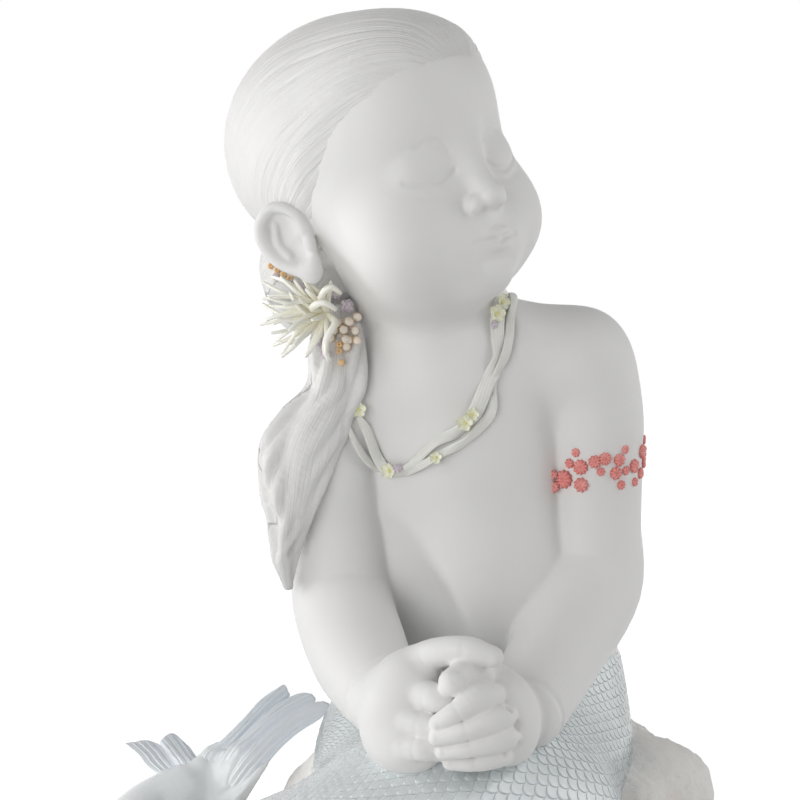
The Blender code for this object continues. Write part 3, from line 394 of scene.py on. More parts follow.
class Clay:
    """A solid kept as signed distances on a grid: shapes are melted on or carved away."""

    def __init__(self, low, high, grain):
        self.low = np.array(low, float)
        self.grain = grain
        counts = np.ceil((np.array(high, float) - self.low) / grain).astype(int) + 1
        self.depth = np.full(counts, FAR, np.float32)

    def copy(self):
        twin = Clay(self.low, self.low, self.grain)
        twin.depth = self.depth.copy()
        return twin

    def axes(self):
        """The grid's x, y and z as arrays that broadcast to the whole grid."""
        runs = [self.low[i] + self.grain * np.arange(self.depth.shape[i]) for i in range(3)]
        return np.ix_(*[run.astype(np.float32) for run in runs])

    def near(self, band):
        """x, y, z and the index of every grid point within a band round the surface."""
        index = np.nonzero(np.abs(self.depth) < band)
        return *[self.low[i] + self.grain * index[i] for i in range(3)], index

    def sample(self, points):
        """Signed distances at rows of points, read between grid points."""
        place = (np.asarray(points) - self.low) / self.grain
        corner = np.clip(np.floor(place).astype(int), 0, np.array(self.depth.shape) - 2)
        share = np.clip(place - corner, 0, 1)
        total = 0
        for step in np.ndindex(2, 2, 2):
            weight = np.prod(np.where(step, share, 1 - share), axis=1)
            total = total + weight * self.depth[tuple((corner + step).T)]
        return total

    def slopes(self, points):
        """Outward unit normals at rows of points."""
        rows = []
        for step in np.eye(3) * self.grain:
            rows.append(self.sample(points + step) - self.sample(points - step))
        return unit(np.stack(rows, axis=1))

    def window(self, low, high):
        first = np.clip(np.floor((low - self.low) / self.grain).astype(int), 0, self.depth.shape)
        last = np.clip(np.ceil((high - self.low) / self.grain).astype(int) + 1, 0, self.depth.shape)
        axes = [
            (self.low[i] + self.grain * np.arange(first[i], last[i])).astype(np.float32)
            for i in range(3)
        ]
        return tuple(slice(a, b) for a, b in zip(first, last)), np.ix_(*axes)

    def melt(self, shape, blend=0.01):
        distance, low, high = shape
        reach = blend + 2 * self.grain
        part, points = self.window(low - reach, high + reach)
        self.depth[part] = soft_min(self.depth[part], distance(*points), blend)

    def carve(self, shape, blend=0.01):
        distance, low, high = shape
        reach = blend + 2 * self.grain
        part, points = self.window(low - reach, high + reach)
        self.depth[part] = -soft_min(-self.depth[part], distance(*points), blend)

    def score(self, shape, width, deep):
        """Presses a soft line into the surface, or raises one where deep is below 0."""
        distance, low, high = shape
        part, points = self.window(low - 3 * width, high + 3 * width)
        self.depth[part] += deep * np.exp(-((distance(*points) / width) ** 2))

    def onto(self, points, frame=None, side=1):
        """Rows of points moved onto the surface; a frame's points come back in that frame."""
        frame = frame or Matrix.Identity(4)
        rows = np.array([frame @ Vector((side * x, y, z)) for x, y, z in points])
        for _ in range(12):
            rows = rows - 0.8 * self.slopes(rows) * self.sample(rows)[:, None]
        back = frame.inverted()
        found = [back @ Vector(row) for row in rows]
        return [(side * row.x, row.y, row.z) for row in found]

    def slice_level(self, height, keep_above):
        """Keeps what is above or below a level plane."""
        heights = self.low[2] + self.grain * np.arange(self.depth.shape[2])
        plane = heights - height if keep_above else height - heights
        self.depth = np.maximum(self.depth, -plane.astype(np.float32)[None, None, :])

    def surface(self):
        """Points in millimetres and four-sided faces of the skin."""
        band = 3 * self.grain
        grid = openvdb.FloatGrid(band)
        grid.copyFromArray(np.clip(self.depth, -band, band).astype(np.float32))
        points, _, quads = grid.convertToPolygons(0.0, 0.0)
        return points * self.grain + self.low, quads


def soft_min(a, b, blend):
    near = np.maximum(blend - np.abs(a - b), 0) / blend
    return np.minimum(a, b) - near * near * blend * 0.25


def blob(centre, radii, turn=(0, 0, 0), frame=None):
    """An ellipsoid: its distance function and its box."""
    frame = frame or Matrix.Identity(4)
    turned = Euler([math.radians(angle) for angle in turn]).to_matrix().to_4x4()
    placed = frame @ Matrix.Translation(centre) @ turned
    scale = frame.to_scale()[0]
    inverse = np.array(placed.inverted(), np.float32)
    r = np.array(radii, np.float32)
    middle = np.array(placed.translation)
    reach = max(radii) * scale

    def distance(x, y, z):
        q = [
            (inverse[i, 0] * x + inverse[i, 1] * y + inverse[i, 2] * z + inverse[i, 3]) / r[i]
            for i in range(3)
        ]
        near = np.sqrt(q[0] ** 2 + q[1] ** 2 + q[2] ** 2) + 1e-6
        slope = np.sqrt((q[0] / r[0]) ** 2 + (q[1] / r[1]) ** 2 + (q[2] / r[2]) ** 2) + 1e-6
        return near * (near - 1) / slope * scale

    return distance, middle - reach, middle + reach


def spline(points, steps):
    """A smooth run through rows of numbers."""
    p = np.array(points, float)
    ends = np.vstack([2 * p[0] - p[1], p, 2 * p[-1] - p[-2]])
    rows = []
    for i in range(1, len(ends) - 2):
        a, b, c, d = ends[i - 1 : i + 3]
        for t in np.arange(steps) / steps:
            bend = 2 * a - 5 * b + 4 * c - d
            rows.append(0.5 * (2 * b + (c - a) * t + bend * t**2 + (3 * b - a - 3 * c + d) * t**3))
    rows.append(p[-1])
    return np.array(rows)


def limb(points, frame=None, steps=6):
    """A tube through (x, y, z, radius) rows: its distance function and its box."""
    rows = spline(points, steps) if steps > 1 else np.array(points, float)
    frame = frame or Matrix.Identity(4)
    scale = frame.to_scale()[0]
    centres = np.array([frame @ Vector(row[:3]) for row in rows])
    radii = rows[:, 3] * scale

    def distance(x, y, z):
        best = FAR
        for a, b, ra, rb in zip(centres[:-1], centres[1:], radii[:-1], radii[1:]):
            run = (b - a).astype(np.float32)
            px, py, pz = x - np.float32(a[0]), y - np.float32(a[1]), z - np.float32(a[2])
            along = (px * run[0] + py * run[1] + pz * run[2]) / (float(run @ run) + 1e-9)
            h = np.clip(along, 0, 1)
            away = np.sqrt((px - h * run[0]) ** 2 + (py - h * run[1]) ** 2 + (pz - h * run[2]) ** 2)
            best = np.minimum(best, away - (ra + (rb - ra) * h))
        return best

    reach = radii.max()
    return distance, centres.min(0) - reach, centres.max(0) + reach


def head_frame():
    """The head's own frame, in which the face looks along -Y."""
    return (
        Matrix.Translation(HEAD_PLACE)
        @ Matrix.Rotation(math.radians(HEAD_YAW), 4, "Z")
        @ Matrix.Rotation(math.radians(-HEAD_ROLL), 4, "Y")
        @ Matrix.Rotation(math.radians(-HEAD_PITCH), 4, "X")
        @ Matrix.Scale(HEAD_SCALE, 4)
    )


def add_skull(clay, head):
    """The smooth form under skin and hair: cranium, brow, cheeks, jaw and chin."""
    clay.melt(blob((0, 8, 12), (41, 48, 40), frame=head), 10)
    clay.melt(blob((0, -12, -12), (35, 31, 36), frame=head), 14)
    clay.melt(blob((0, -20, 20), (29, 27, 25), frame=head), 12)
    clay.melt(blob((0, -16, -40), (23, 22, 13), frame=head), 12)
    clay.melt(blob((0, -35, -43.5), (9, 8, 7), frame=head), 9)
    for side in (-1, 1):
        clay.melt(blob((side * 20, -25, -26), (17, 16, 17), frame=head), 12)


def draw_line(clay, head, side, points, width, deep):
    """Presses a soft line into the skin along points of the head's own frame."""
    rows = [(side * x, y, z, 0) for x, y, z in clay.onto(points, head, side)]
    clay.score(limb(rows, frame=head), width, deep)


def add_closed_eyes(clay, head):
    for side in (-1, 1):
        clay.carve(blob((side * 16.5, -51, -3), (10.5, 6.5, 6.5), frame=head), 9)
        clay.melt(blob((side * 15.6, -33, -6), (10, 8.4, 7.6), turn=(0, 0, side * 18), frame=head), 4)
        lash_line = ((7.2, -44, -7.4), (11, -46, -10.2), (16, -46, -11.6), (21, -44, -10.6), (26, -38, -7.6))
        draw_line(clay, head, side, lash_line, 0.75, 1.0)
        lid_fold = ((8.2, -44, -1.2), (12, -46, 1.4), (16.5, -46, 2.4), (20, -42, 1.8))
        draw_line(clay, head, side, lid_fold, 0.8, 0.55)
        under = ((10.5, -44, -13.6), (16, -44, -14.8), (22, -41, -13.4))
        draw_line(clay, head, side, under, 1.2, 0.3)


def add_nose(clay, head):
    clay.melt(limb(((0, -41, 4, 5), (0, -43.5, -8, 4), (0, -47.5, -17.5, 4)), frame=head), 6)
    clay.melt(blob((0, -49, -19), (4.4, 4, 3.8), frame=head), 2.5)
    for side in (-1, 1):
        clay.melt(blob((side * 5, -45, -20), (3.1, 3.8, 2.9), frame=head), 1.6)
        clay.carve(blob((side * 2.7, -47.4, -23), (1.5, 2.2, 1.2), frame=head), 0.8)


def add_mouth(clay, head):
    clay.melt(blob((0, -38, -32.5), (14, 6.5, 9), frame=head), 8)
    for side in (-1, 1):
        upper = (
            (side * 9.4, -41.4, -32.6, 0.8),
            (side * 5.2, -43.9, -31.4, 1.4),
            (side * 1.9, -45.1, -30.8, 1.6),
            (0, -45.0, -31.3, 1.5),
        )
        clay.melt(limb(upper, frame=head), 1.2)
        lower = (
            (side * 8.4, -41.4, -33.8, 0.9),
            (side * 4.4, -43.8, -35.0, 1.7),
            (0, -44.7, -35.4, 2.1),
        )
        clay.melt(limb(lower, frame=head), 1.3)
    parting = ((10.4, -46, -32.9), (5, -50, -33.0), (0, -51, -33.4))
    for side in (-1, 1):
        draw_line(clay, head, side, parting, 0.7, 0.9)
    clay.carve(limb(((0, -47.6, -25.6, 0.9), (0, -47.2, -28.2, 1.1)), frame=head, steps=1), 1.5)
    clay.carve(blob((0, -45.8, -40.4), (7, 3, 2.2), frame=head), 4)


def add_ear(clay, head, side):
    """One ear in a frame of its own: plate, rim, back, lobe and the hollows between its folds."""
    place = (
        Matrix.Translation((side * 39, 7, -16))
        @ Matrix.Rotation(math.radians(side * -22), 4, "Z")
        @ Matrix.Rotation(math.radians(-10), 4, "X")
    )
    ear = head @ place
    clay.melt(blob((side, 1, 0), (3, 8, 12), frame=ear), 3)
    rim = (
        (side * 1.5, -5.5, 2, 1.6),
        (side * 3.2, -5.0, 8, 1.8),
        (side * 4.2, 1, 12.6, 2.0),
        (side * 4.8, 7.6, 9.5, 2.0),
        (side * 4.8, 9.6, 3, 1.9),
        (side * 4.2, 7.6, -4, 1.9),
        (side * 3.4, 3, -9, 2.1),
        (side * 2.6, -2, -11.6, 2.8),
        (side * 1.6, -4, -9, 2.2),
    )
    clay.melt(limb(rim, frame=ear), 1.8)
    back = (
        (side * 2, 1, 10.6, 2),
        (side * 2.6, 7, 9, 2.4),
        (side * 2.6, 8.4, 3, 2.6),
        (side * 2, 6.8, -4, 2.4),
        (side, 3, -8, 2),
    )
    clay.melt(limb(back, frame=ear), 1.8)
    clay.melt(blob((side * 2.4, -1.5, -11.8), (2.4, 4, 4.2), frame=ear), 1.6)
    clay.carve(blob((side * 4.2, 1.2, 3.4), (2.6, 5, 6.8), frame=ear), 1.4)
    clay.carve(blob((side * 3.8, -1.2, -3.2), (2.8, 4, 4.2), frame=ear), 1.4)
    inner_fold = ((side * 2.6, 3.6, 7, 1.0), (side * 3, 5.2, 1, 1.2), (side * 2.8, 3.4, -4.4, 1.2))
    clay.melt(limb(inner_fold, frame=ear), 1.2)
    clay.melt(blob((side * 2.2, -5.2, -3.2), (1.7, 2, 2.6), frame=ear), 1.2)


def add_head(clay):
    head = head_frame()
    add_skull(clay, head)
    add_closed_eyes(clay, head)
    add_nose(clay, head)
    add_mouth(clay, head)
    add_ear(clay, head, -1)
    add_ear(clay, head, 1)


def add_ponytail(clay):
    """The gathered hair: waving locks of three strands each, side by side over a plain core."""
    core = spline(PONYTAIL, 3)
    core[:, 1] += 3
    core[:, 3] *= 0.72
    clay.melt(limb(core, steps=1), 4)
    height, left, right, front = spline(HAIR_EDGES, 3).T
    thin = smooth((height - 140) / 14)
    for i in range(LOCKS):
        across = (2 * i + 1) / LOCKS - 1
        half = (right - left) / (2 * LOCKS)
        sway = 1.5 * np.sin(height / 5.4 + 2.1 * i) * thin * (1 - across**4)
        deep = front + 5 * across**2 * thin + 1.5 * np.sin(height / 6.5 + 1.7 * i) * thin
        middle = (left + right) / 2 + across * (right - left) / 2 + sway
        for j in STRANDS:
            own = 0.25 * np.sin(height / 5.2 + 3 * j + i) * thin
            x = middle + 0.62 * j * half + own
            y = deep + 0.4 * half * j * j - 2.5 * thin
            clay.melt(limb(np.column_stack([x, y, height, 0.8 * half + 0.4]), steps=1), 1.3)


def add_trunk(clay):
    clay.melt(blob((19, 5, 188), (34, 22, 34), turn=(0, -12, 0)), 14)
    clay.melt(blob((25, 6, 150), (33, 25, 40), turn=(0, -10, 0)), 18)
    clay.melt(blob((32, 13, 114), (39, 29, 30)), 16)
    clay.melt(blob((27, -3, 136), (26, 20, 28)), 14)
    clay.melt(blob((34, 25, 92), (44, 36, 38)), 22)
    add_hollow(clay)


def add_hollow(clay):
    """The deep space between the belly and the right forearm."""
    clay.carve(limb(FOREARM_HOLLOW), 7)


def add_shoulders(clay):
    clay.melt(limb(((-1, 8, 246, 20), (6, 9, 232, 20), (12, 9, 214, 23))), 10)
    clay.melt(limb(((-18, 4, 198, 13), (14, 8, 208, 16), (62, 8, 214, 14.5))), 12)
    clay.melt(limb(((10, 10, 226, 15), (38, 11, 223, 12), (62, 9, 217, 13))), 12)


def add_hands(clay):
    """Both palms, then thumbs and fingers laid over each other."""
    clay.melt(blob((1, -69, 112), (14, 13, 20), turn=(0, 12, 0)), 3)
    clay.melt(blob((4, -74, 103), (11, 10, 10)), 5)
    clay.melt(limb(RIGHT_THUMB), 3)
    clay.melt(blob((33.4, -69, 110), (11, 13.5, 15.5), turn=(0, -12, 0)), 3)
    clay.melt(blob((34, -72, 106), (8.5, 9, 10.5)), 4)
    clay.melt(limb(LEFT_THUMB), 2)
    for finger in RIGHT_FINGERS:
        clay.melt(limb(finger), 1.0)
    for finger in LEFT_FINGERS:
        clay.melt(limb(finger), 0.45)
    add_knuckles(clay)


def add_knuckles(clay):
    """Soft creases across the fingers at their joints, and dimples over the knuckles."""
    for finger in (*LEFT_FINGERS, *RIGHT_FINGERS, LEFT_THUMB, RIGHT_THUMB):
        rows = spline(finger, 6)
        for share in (0.36, 0.7):
            k = int(share * (len(rows) - 1))
            way = rows[k + 1, :3] - rows[k - 1, :3]
            clay.score(limb(ring(rows[k, :3], way, rows[k, 3], 0, 360), steps=1), 0.55, 0.22)
    for x, height in KNUCKLES:
        point, facing = cast(clay, (x, HAND_VIEWER_Y, height), (0, 1, 0))
        clay.carve(blob(tuple(point - 0.2 * facing), (1.1, 1.1, 1.3)), 2)


def add_nails(clay):
    """The outline of each nail that shows, pressed in round the finger's tip."""
    for finger in (*LEFT_FINGERS, LEFT_THUMB, RIGHT_THUMB):
        rows = spline(finger, 6)
        tip = rows[-1, :3]
        way = unit(tip - rows[-3, :3])
        out = unit(np.array(NAIL_FACING) - way * float(np.dot(way, NAIL_FACING)))
        point = tip + 0.82 * rows[-1, 3] * out + 0.2 * way
        nail = circle(point, out, 0.52 * rows[-1, 3], 0)
        clay.score(limb(nail, steps=1), 0.38, 0.26)


def add_tail(clay):
    clay.melt(limb(TAIL_CURL), 4)
    clay.melt(blob((28, 2, 78), (52, 42, 36)), 16)
    clay.melt(blob((24, -38, 68), (50, 44, 36)), 16)
    clay.melt(limb(((34, 24, 90, 36), (28, -10, 78, 38), (20, -46, 68, 36))), 10)
    clay.melt(blob((-9, -14, 78), (18.5, 26, 31)), 14)


def add_rock(clay):
    clay.melt(blob((34, 22, 34), (76, 56, 56)), 4)
    clay.melt(blob((-38, -14, 10), (68, 58, 30)), 20)
    clay.melt(blob((22, -36, 6), (78, 50, 34)), 20)
    clay.melt(blob((-16, 14, 48), (26, 19, 29)), 12)
    clay.melt(blob((80, 24, 46.5), (34, 34, 34)), 14)


def roughen_rock(clay):
    """Long soft waves in the field, so that the boulder is lumpy on every side."""
    x, y, z = clay.axes()
    waves = 2.2 * np.sin(x / 9 + 1.3 * np.sin(y / 13)) * np.sin(y / 8 + 1.1 * np.sin(z / 11))
    waves = waves + 1.3 * np.sin(z / 6 + x / 17) * np.sin(x / 6.5 - y / 9)
    clay.depth = clay.depth + waves


def smooth(share):
    share = np.clip(share, 0, 1)
    return share * share * (3 - 2 * share)


def sculpt_skin(clay):
    """Every bare part of the figure, from the joint at the waist up."""
    add_trunk(clay)
    clay.slice_level(WAIST_HEIGHT - 1, True)
    add_shoulders(clay)
    clay.melt(limb(((60, 8, 215, 14), (66.5, 8, 204, 15), (68, 8, 192, 14.6))), 9)
    clay.melt(limb(((-17, 3, 200, 12), (-20.5, 0, 188, 13))), 9)
    clay.melt(limb(LEFT_ARM), 2.2)
    clay.melt(limb(RIGHT_ARM), 2.2)
    add_hands(clay)
    add_nails(clay)
    add_head(clay)
    add_creases(clay)


def ring(centre, axis, radius, first, last):
    """Part of a circle round an axis, in degrees from straight down toward the viewer's left."""
    axis = Vector(axis).normalized()
    down = (Vector((0, 0, -1)) + axis * axis.z).normalized()
    side = axis.cross(down)
    rows = []
    for degrees in np.linspace(first, last, 9):
        turn = math.radians(degrees)
        point = Vector(centre) + (down * math.cos(turn) + side * math.sin(turn)) * float(radius)
        rows.append((*point, 0))
    return rows


def add_creases(clay):
    for crease in CREASES:
        points = clay.onto([row[:3] for row in ring(*crease)])
        clay.score(limb([(*point, 0) for point in points], steps=1), 1.1, 0.75)


def head_zone(clay):
    """How deep each grid point is inside the ball that the head's own fine skin fills."""
    square = sum((run - middle) ** 2 for run, middle in zip(clay.axes(), HEAD_PLACE))
    return HEAD_REACH - np.sqrt(square)


def hand_zone(clay):
    """How far each grid point is in front of the plane where the hands' own fine skin starts."""
    x, y, z = clay.axes()
    return HAND_PLANE - y + 0 * x + 0 * z


def give_way(clay, inside):
    """Sinks a coarse skin a little under the finer one that takes over, and ends it not far in."""
    clay.depth = np.maximum(clay.depth + 0.04 * np.maximum(inside + 0.5, 0), inside - HAND_OVER)


def solid(name, points, faces, slot, look=None, normals=None):
    """A finished piece from points in millimetres: it rides on the one body and has its finish."""
    mesh = bpy.data.meshes.new(name)
    mesh.from_pydata((np.asarray(points) * MM).tolist(), [], faces)
    mesh.shade_smooth()
    if normals is not None:
        mesh.normals_split_custom_set_from_vertices(normals.tolist())
    mesh.materials.append(material_of(look or slot))
    obj = bpy.data.objects.new(name, mesh)
    bpy.context.scene.collection.objects.link(obj)
    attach(obj, "root")
    return obj


def skinned(name, clay, slot, true=None, hidden=None, look=None):
    """The clay's surface as a piece. Points that the hidden clay covers deeply are left out."""
    points, faces = clay.surface()
    if hidden is not None:
        deep = hidden.sample(points) < -BURIED
        faces = faces[~deep[faces].all(axis=1)]
        used = np.unique(faces)
        renamed = np.zeros(len(points), int)
        renamed[used] = np.arange(len(used))
        points = points[used]
        faces = renamed[faces]
    normals = (true or clay).slopes(points)
    return solid(name, points, faces.tolist(), slot, look, normals=normals)


def groove(turn, count, sharp):
    """Thin valleys, count of them in a full turn, 0 between them and 1 at the bottom."""
    return (1 - np.abs(np.sin(0.5 * count * turn))) ** sharp


def hair_cover(x, y, z):
    """How far each point is past the hairline, in millimetres along the head."""
    inverse = head_frame().inverted()
    q = [inverse[i][0] * x + inverse[i][1] * y + inverse[i][2] * z + inverse[i][3] for i in range(3)]
    aside, ahead, above = (q[i] - HAIRLINE_MIDDLE[i] for i in range(3))
    wide = np.hypot(aside, above)
    round_face = np.degrees(np.arctan2(np.abs(aside), above))
    off_face = np.degrees(np.arctan2(wide, -ahead))
    line = np.interp(round_face, HAIRLINE_ROUND, HAIRLINE_OFF)
    return np.minimum((off_face - line) * 0.75, q[2] + 36)


def comb_turn(x, y, z):
    """Each point's turn round the line from brow to gather, its distance from it, and its way along it."""
    centre = np.array(PARTING)
    pole = np.array(GATHER) - centre
    pole /= np.linalg.norm(pole)
    first = np.cross(pole, (0.0, 0.0, 1.0))
    first /= np.linalg.norm(first)
    second = np.cross(pole, first)
    q = np.stack([x - centre[0], y - centre[1], z - centre[2]])
    aside, above = first @ q, second @ q
    return np.arctan2(above, aside), np.hypot(above, aside), pole @ q


def comb_cap(clay):
    """Thin combed lines that run from the hairline back to where the hair is gathered."""
    x, y, z, near = clay.near(2.5)
    turn, away, along = comb_turn(x, y, z)
    turn = turn + 0.03 * np.sin(5 * turn + 1) + 0.02 * np.sin(11 * turn + along / 16)
    strong = 0.2 + 0.8 * np.abs(np.sin(7.3 * turn + along / 40 + 0.6)) ** 1.5
    patch = 0.5 + 0.5 * np.sin(0.11 * x + 0.4) * np.sin(0.09 * z + 0.13 * y)
    lines = 0.5 * groove(turn + 0.02 * np.sin(along / 9), 64, 2.4) * strong
    lines = lines + 0.34 * groove(turn + 0.02 * np.sin(along / 11 + 2), 150, 1.8) * (0.35 + 0.65 * patch)
    start = 1 + 0.9 * smooth(1 - hair_cover(x, y, z) / 9)
    clay.depth[near] += lines * smooth((away - 5) / 16) * start


def tail_turn(x, y, z):
    """The turn of each point round the middle of the gathered hair, and its radius there."""
    spine = spline(PONYTAIL, 6)[::-1]
    mid_x = np.interp(z, spine[:, 2], spine[:, 0])
    mid_y = np.interp(z, spine[:, 2], spine[:, 1])
    return np.arctan2(y - mid_y, x - mid_x), np.interp(z, spine[:, 2], spine[:, 3])


def comb_tail(clay):
    """Fine lines along the locks of the gathered hair."""
    x, y, z, near = clay.near(3)
    below = z < GATHER[2] - 6
    index = tuple(axis[below] for axis in near)
    x, y, z = x[below], y[below], z[below]
    turn, radius = tail_turn(x, y, z)
    wave = 0.12 * np.sin(z / 5.4 + 0.4)
    size = np.clip(radius / 9, 0.2, 1.1)
    lines = 0.26 * groove(turn + wave, 37, 2) + 0.2 * groove(turn + 1.4 * wave + 0.05 * np.sin(z / 4), 71, 2)
    clay.depth[index] += lines * size * smooth((GATHER[2] - 4 - z) / 10)


def paint_strands(obj):
    """Two numbers per point for the finest hair lines: across the strands and along them."""
    points = np.empty(len(obj.data.vertices) * 3)
    obj.data.vertices.foreach_get("co", points)
    x, y, z = points.reshape(-1, 3).T / MM
    turn, _, along = comb_turn(x, y, z)
    below = smooth((GATHER[2] - 8 - z) / 4)
    around, _ = tail_turn(x, y, z)
    paint(obj, "strand", (1 - below) * 75 * turn + below * 17 * around)
    paint(obj, "flow", (1 - below) * along + below * z)


def sculpt_hair():
    """The combed cap over the skull, the roll round the nape, and the ponytail."""
    head = head_frame()
    clay = Clay(*HAIR_BOX, HAIR_GRAIN)
    add_skull(clay, head)
    cover = hair_cover(*clay.axes())
    thick = 2.7 * smooth(cover / 15) - 0.55
    clay.depth = np.maximum(clay.depth - thick, -cover).astype(np.float32)
    comb_cap(clay)
    clay.melt(limb(NAPE_ROLL, frame=head), 8)
    clay.melt(blob((-18, 30, -26), (18, 16, 16), frame=head), 8)
    add_ponytail(clay)
    comb_tail(clay)
    return clay


def scale_map(points):
    """Each point's row along the tail, its turn round it, and how far along the tail it is, 0 to 1."""
    axis = ease(TAIL_AXIS, 90)
    centres = axis[:, :3]
    radii = axis[:, 3]
    steps = np.linalg.norm(np.diff(centres, axis=0), axis=1)
    rows = np.concatenate([[0], np.cumsum(steps / (0.5 * (radii[1:] + radii[:-1])))])
    tangents = unit(np.gradient(centres, axis=0))
    side = np.cross(tangents[0], (0, 0, 1.0))
    sides = []
    for tangent in tangents:
        side = unit(side - tangent * (side @ tangent))
        sides.append(side)
    sides = np.array(sides)
    known = np.column_stack([centres, sides, np.cross(sides, tangents), rows, np.linspace(0, 1, len(rows))])
    found = []
    for part in np.array_split(points, 60):
        gap = ((part[:, None, :] - centres[None]) ** 2).sum(2)
        weight = np.exp((gap.min(1)[:, None] - gap) / (2 * SCALE_SOFT**2) * 3)
        found.append(weight @ known / weight.sum(1)[:, None])
    found = np.concatenate(found)
    away = points - found[:, :3]
    turn = np.arctan2((away * found[:, 6:9]).sum(1), (away * found[:, 3:6]).sum(1))
    return found[:, 9], turn, found[:, 10]


def scale_places(row, turn):
    """Each point's place among the scales: scales round the tail, and scales down it."""
    return turn / (2 * math.pi) * SCALES_ROUND, row * SCALES_ROUND / (2 * math.pi) / SCALE_STRETCH


def shingles(row, turn):
    """Height of overlapping round scales, 0 at a scale's root to 1 just before its free edge."""
    u, v = scale_places(row, turn)
    height = np.zeros(len(u))
    taken = np.zeros(len(u), bool)
    for back in (1, 0):
        j = np.floor(v) - back
        shift = u + 0.5 * (j % 2)
        across = shift - np.floor(shift) - 0.5
        reach = 0.55 + 0.95 * np.sqrt(np.maximum(1 - (2 * across) ** 2, 0))
        down = v - j
        mine = ~taken & (down < reach)
        share = down / np.maximum(reach, 0.01)
        dome = share**1.2 * (1 - 0.35 * (2 * across) ** 2)
        edge = smooth((reach - down) / 0.22)
        height = np.where(mine, dome * edge, height)
        taken |= mine
    return height


def sculpt_tail():
    """Hips, lap and curl with raised scales, and the roots that the fluke's ribs grow from."""
    clay = Clay(*TAIL_BOX, TAIL_GRAIN)
    add_trunk(clay)
    add_tail(clay)
    clay.slice_level(WAIST_HEIGHT, False)
    for _, _, lines in FLUKE:
        for line in lines[::2]:
            root = ease(line, 12)[:6]
            clay.melt(limb(np.column_stack([root, np.linspace(4.5, 0.7, 6)]), steps=1), 5)
    points, faces = clay.surface()
    row, turn, along = scale_map(points)
    plain = smooth((along - 0.78) / 0.1)
    top = smooth((WAIST_HEIGHT - points[:, 2]) / 3)
    raised = SCALE_HEIGHT * (1 - plain) * shingles(row, turn) * top
    points = points + clay.slopes(points) * raised[:, None]
    obj = solid("scaled_tail", points, faces.tolist(), "tail_glaze")
    across, down = scale_places(row, turn)
    paint(obj, "across", across)
    paint(obj, "down", down)
    paint(obj, "pale", smooth((along - 0.3) / 0.32))
    paint(obj, "plain", plain)
    return obj


def outward(points, faces):
    """The faces turned so that they look out of the closed body."""
    total = 0.0
    for face in faces:
        a = points[face[0]]
        for b, c in zip(face[1:-1], face[2:]):
            total += a @ np.cross(points[b], points[c])
    return faces if total > 0 else [face[::-1] for face in faces]


def add_fin(name, leaves, short, lines):
    """Half of the fluke: thin leaves side by side that overlap in steps, with fine ribs and rounded tips."""
    rows = LEAF_ROWS * leaves + 1
    share = np.linspace(0, leaves, rows)
    t = np.linspace(0, 1, FIN_COLUMNS)
    sheet = fin_sheet(share, t, leaves, short, lines)
    facing = unit(np.cross(np.gradient(sheet, axis=0), np.gradient(sheet, axis=1)))
    facing *= -np.sign(facing[:, :, 1].mean())
    within = share - np.floor(np.minimum(share, leaves - 0.001))
    step, ribs = fin_relief(share, within)
    swell = smooth(t / 0.4) * (1 - 0.45 * t**2)
    lift = swell[None] * (FIN_RELIEF * (step + ribs))[:, None]
    side_edge = np.sqrt(np.clip(np.minimum(share, leaves - share) / 0.1, 0.04, 1))
    end_edge = np.sqrt(np.clip((1 - t) / 0.08, 0.04, 1))
    half = (0.45 + 1.8 * (1 - t) ** 1.6)[None] * side_edge[:, None] * end_edge[None]
    front = sheet + facing * (lift + half)[:, :, None]
    back = sheet + facing * (0.8 * lift - half)[:, :, None]
    points = np.concatenate([front.reshape(-1, 3), back.reshape(-1, 3)])
    obj = solid(name, points, outward(points, closed_sheet(rows, FIN_COLUMNS)), "tail_glaze", "fin_glaze")
    paint(obj, "blue", np.tile(smooth((t - 0.15) / 0.5), 2 * rows))
    # painted shade: darker and bluer where each leaf sinks toward the next one's step, and in the rib
    # valleys
    painted_valley_shade = smooth((within - 0.35) / 0.6) + 0.25 * (0.5 - ribs)
    paint(obj, "painted_valley_shade", np.tile(np.outer(painted_valley_shade, swell).ravel(), 2))
    return obj


def fin_sheet(share, t, leaves, short, lines):
    """The middle surface of a fin through its lines, with each leaf cut round at its end."""
    runs = np.array([ease(line, len(t)) for line in lines])
    sheet = np.array([ease(runs[:, k], len(share)) for k in range(len(t))]).transpose(1, 0, 2)
    within = share - np.floor(np.minimum(share, leaves - 0.001))
    side_fall = np.interp(share, (0, 0.3, leaves - 0.3, leaves), (short[0], 0, 0, short[1]))
    reach = 1 - LEAF_ROUND * (1 - np.sqrt(1 - 0.95 * (2 * within - 1) ** 2)) - side_fall
    for i in range(len(share)):
        sheet[i] = np.column_stack([np.interp(t * reach[i], t, sheet[i, :, k]) for k in range(3)])
    return sheet


def fin_relief(share, within):
    """Heights across a fin: a step from each leaf to the next, and ribs."""
    climb = LEAF_STEP * smooth(within / STEP_SHARE) - LEAF_STEP / 2
    slope = LEAF_STEP / 2 - LEAF_STEP * (within - STEP_SHARE) / (1 - STEP_SHARE)
    step = np.where((within < STEP_SHARE) & (share > 0.5), climb, slope)
    ribs = 0.26 * np.cos(2 * math.pi * 4 * share + 0.8 * np.sin(3 * share))
    return step, ribs + 0.12 * np.cos(2 * math.pi * 9 * share)


def paint(obj, name, values):
    """One number per point, which the material reads by name."""
    attribute = obj.data.attributes.new(name, "FLOAT", "POINT")
    attribute.data.foreach_set("value", np.asarray(values, np.float32))


def ease(rows, count):
    """A smooth run of a set number of points through rows."""
    fine = spline(rows, 12)
    steps = np.linalg.norm(np.diff(fine[:, :3], axis=0), axis=1)
    along = np.concatenate([[0], np.cumsum(steps)])
    even = np.linspace(0, along[-1], count)
    return np.column_stack([np.interp(even, along, fine[:, k]) for k in range(fine.shape[1])])


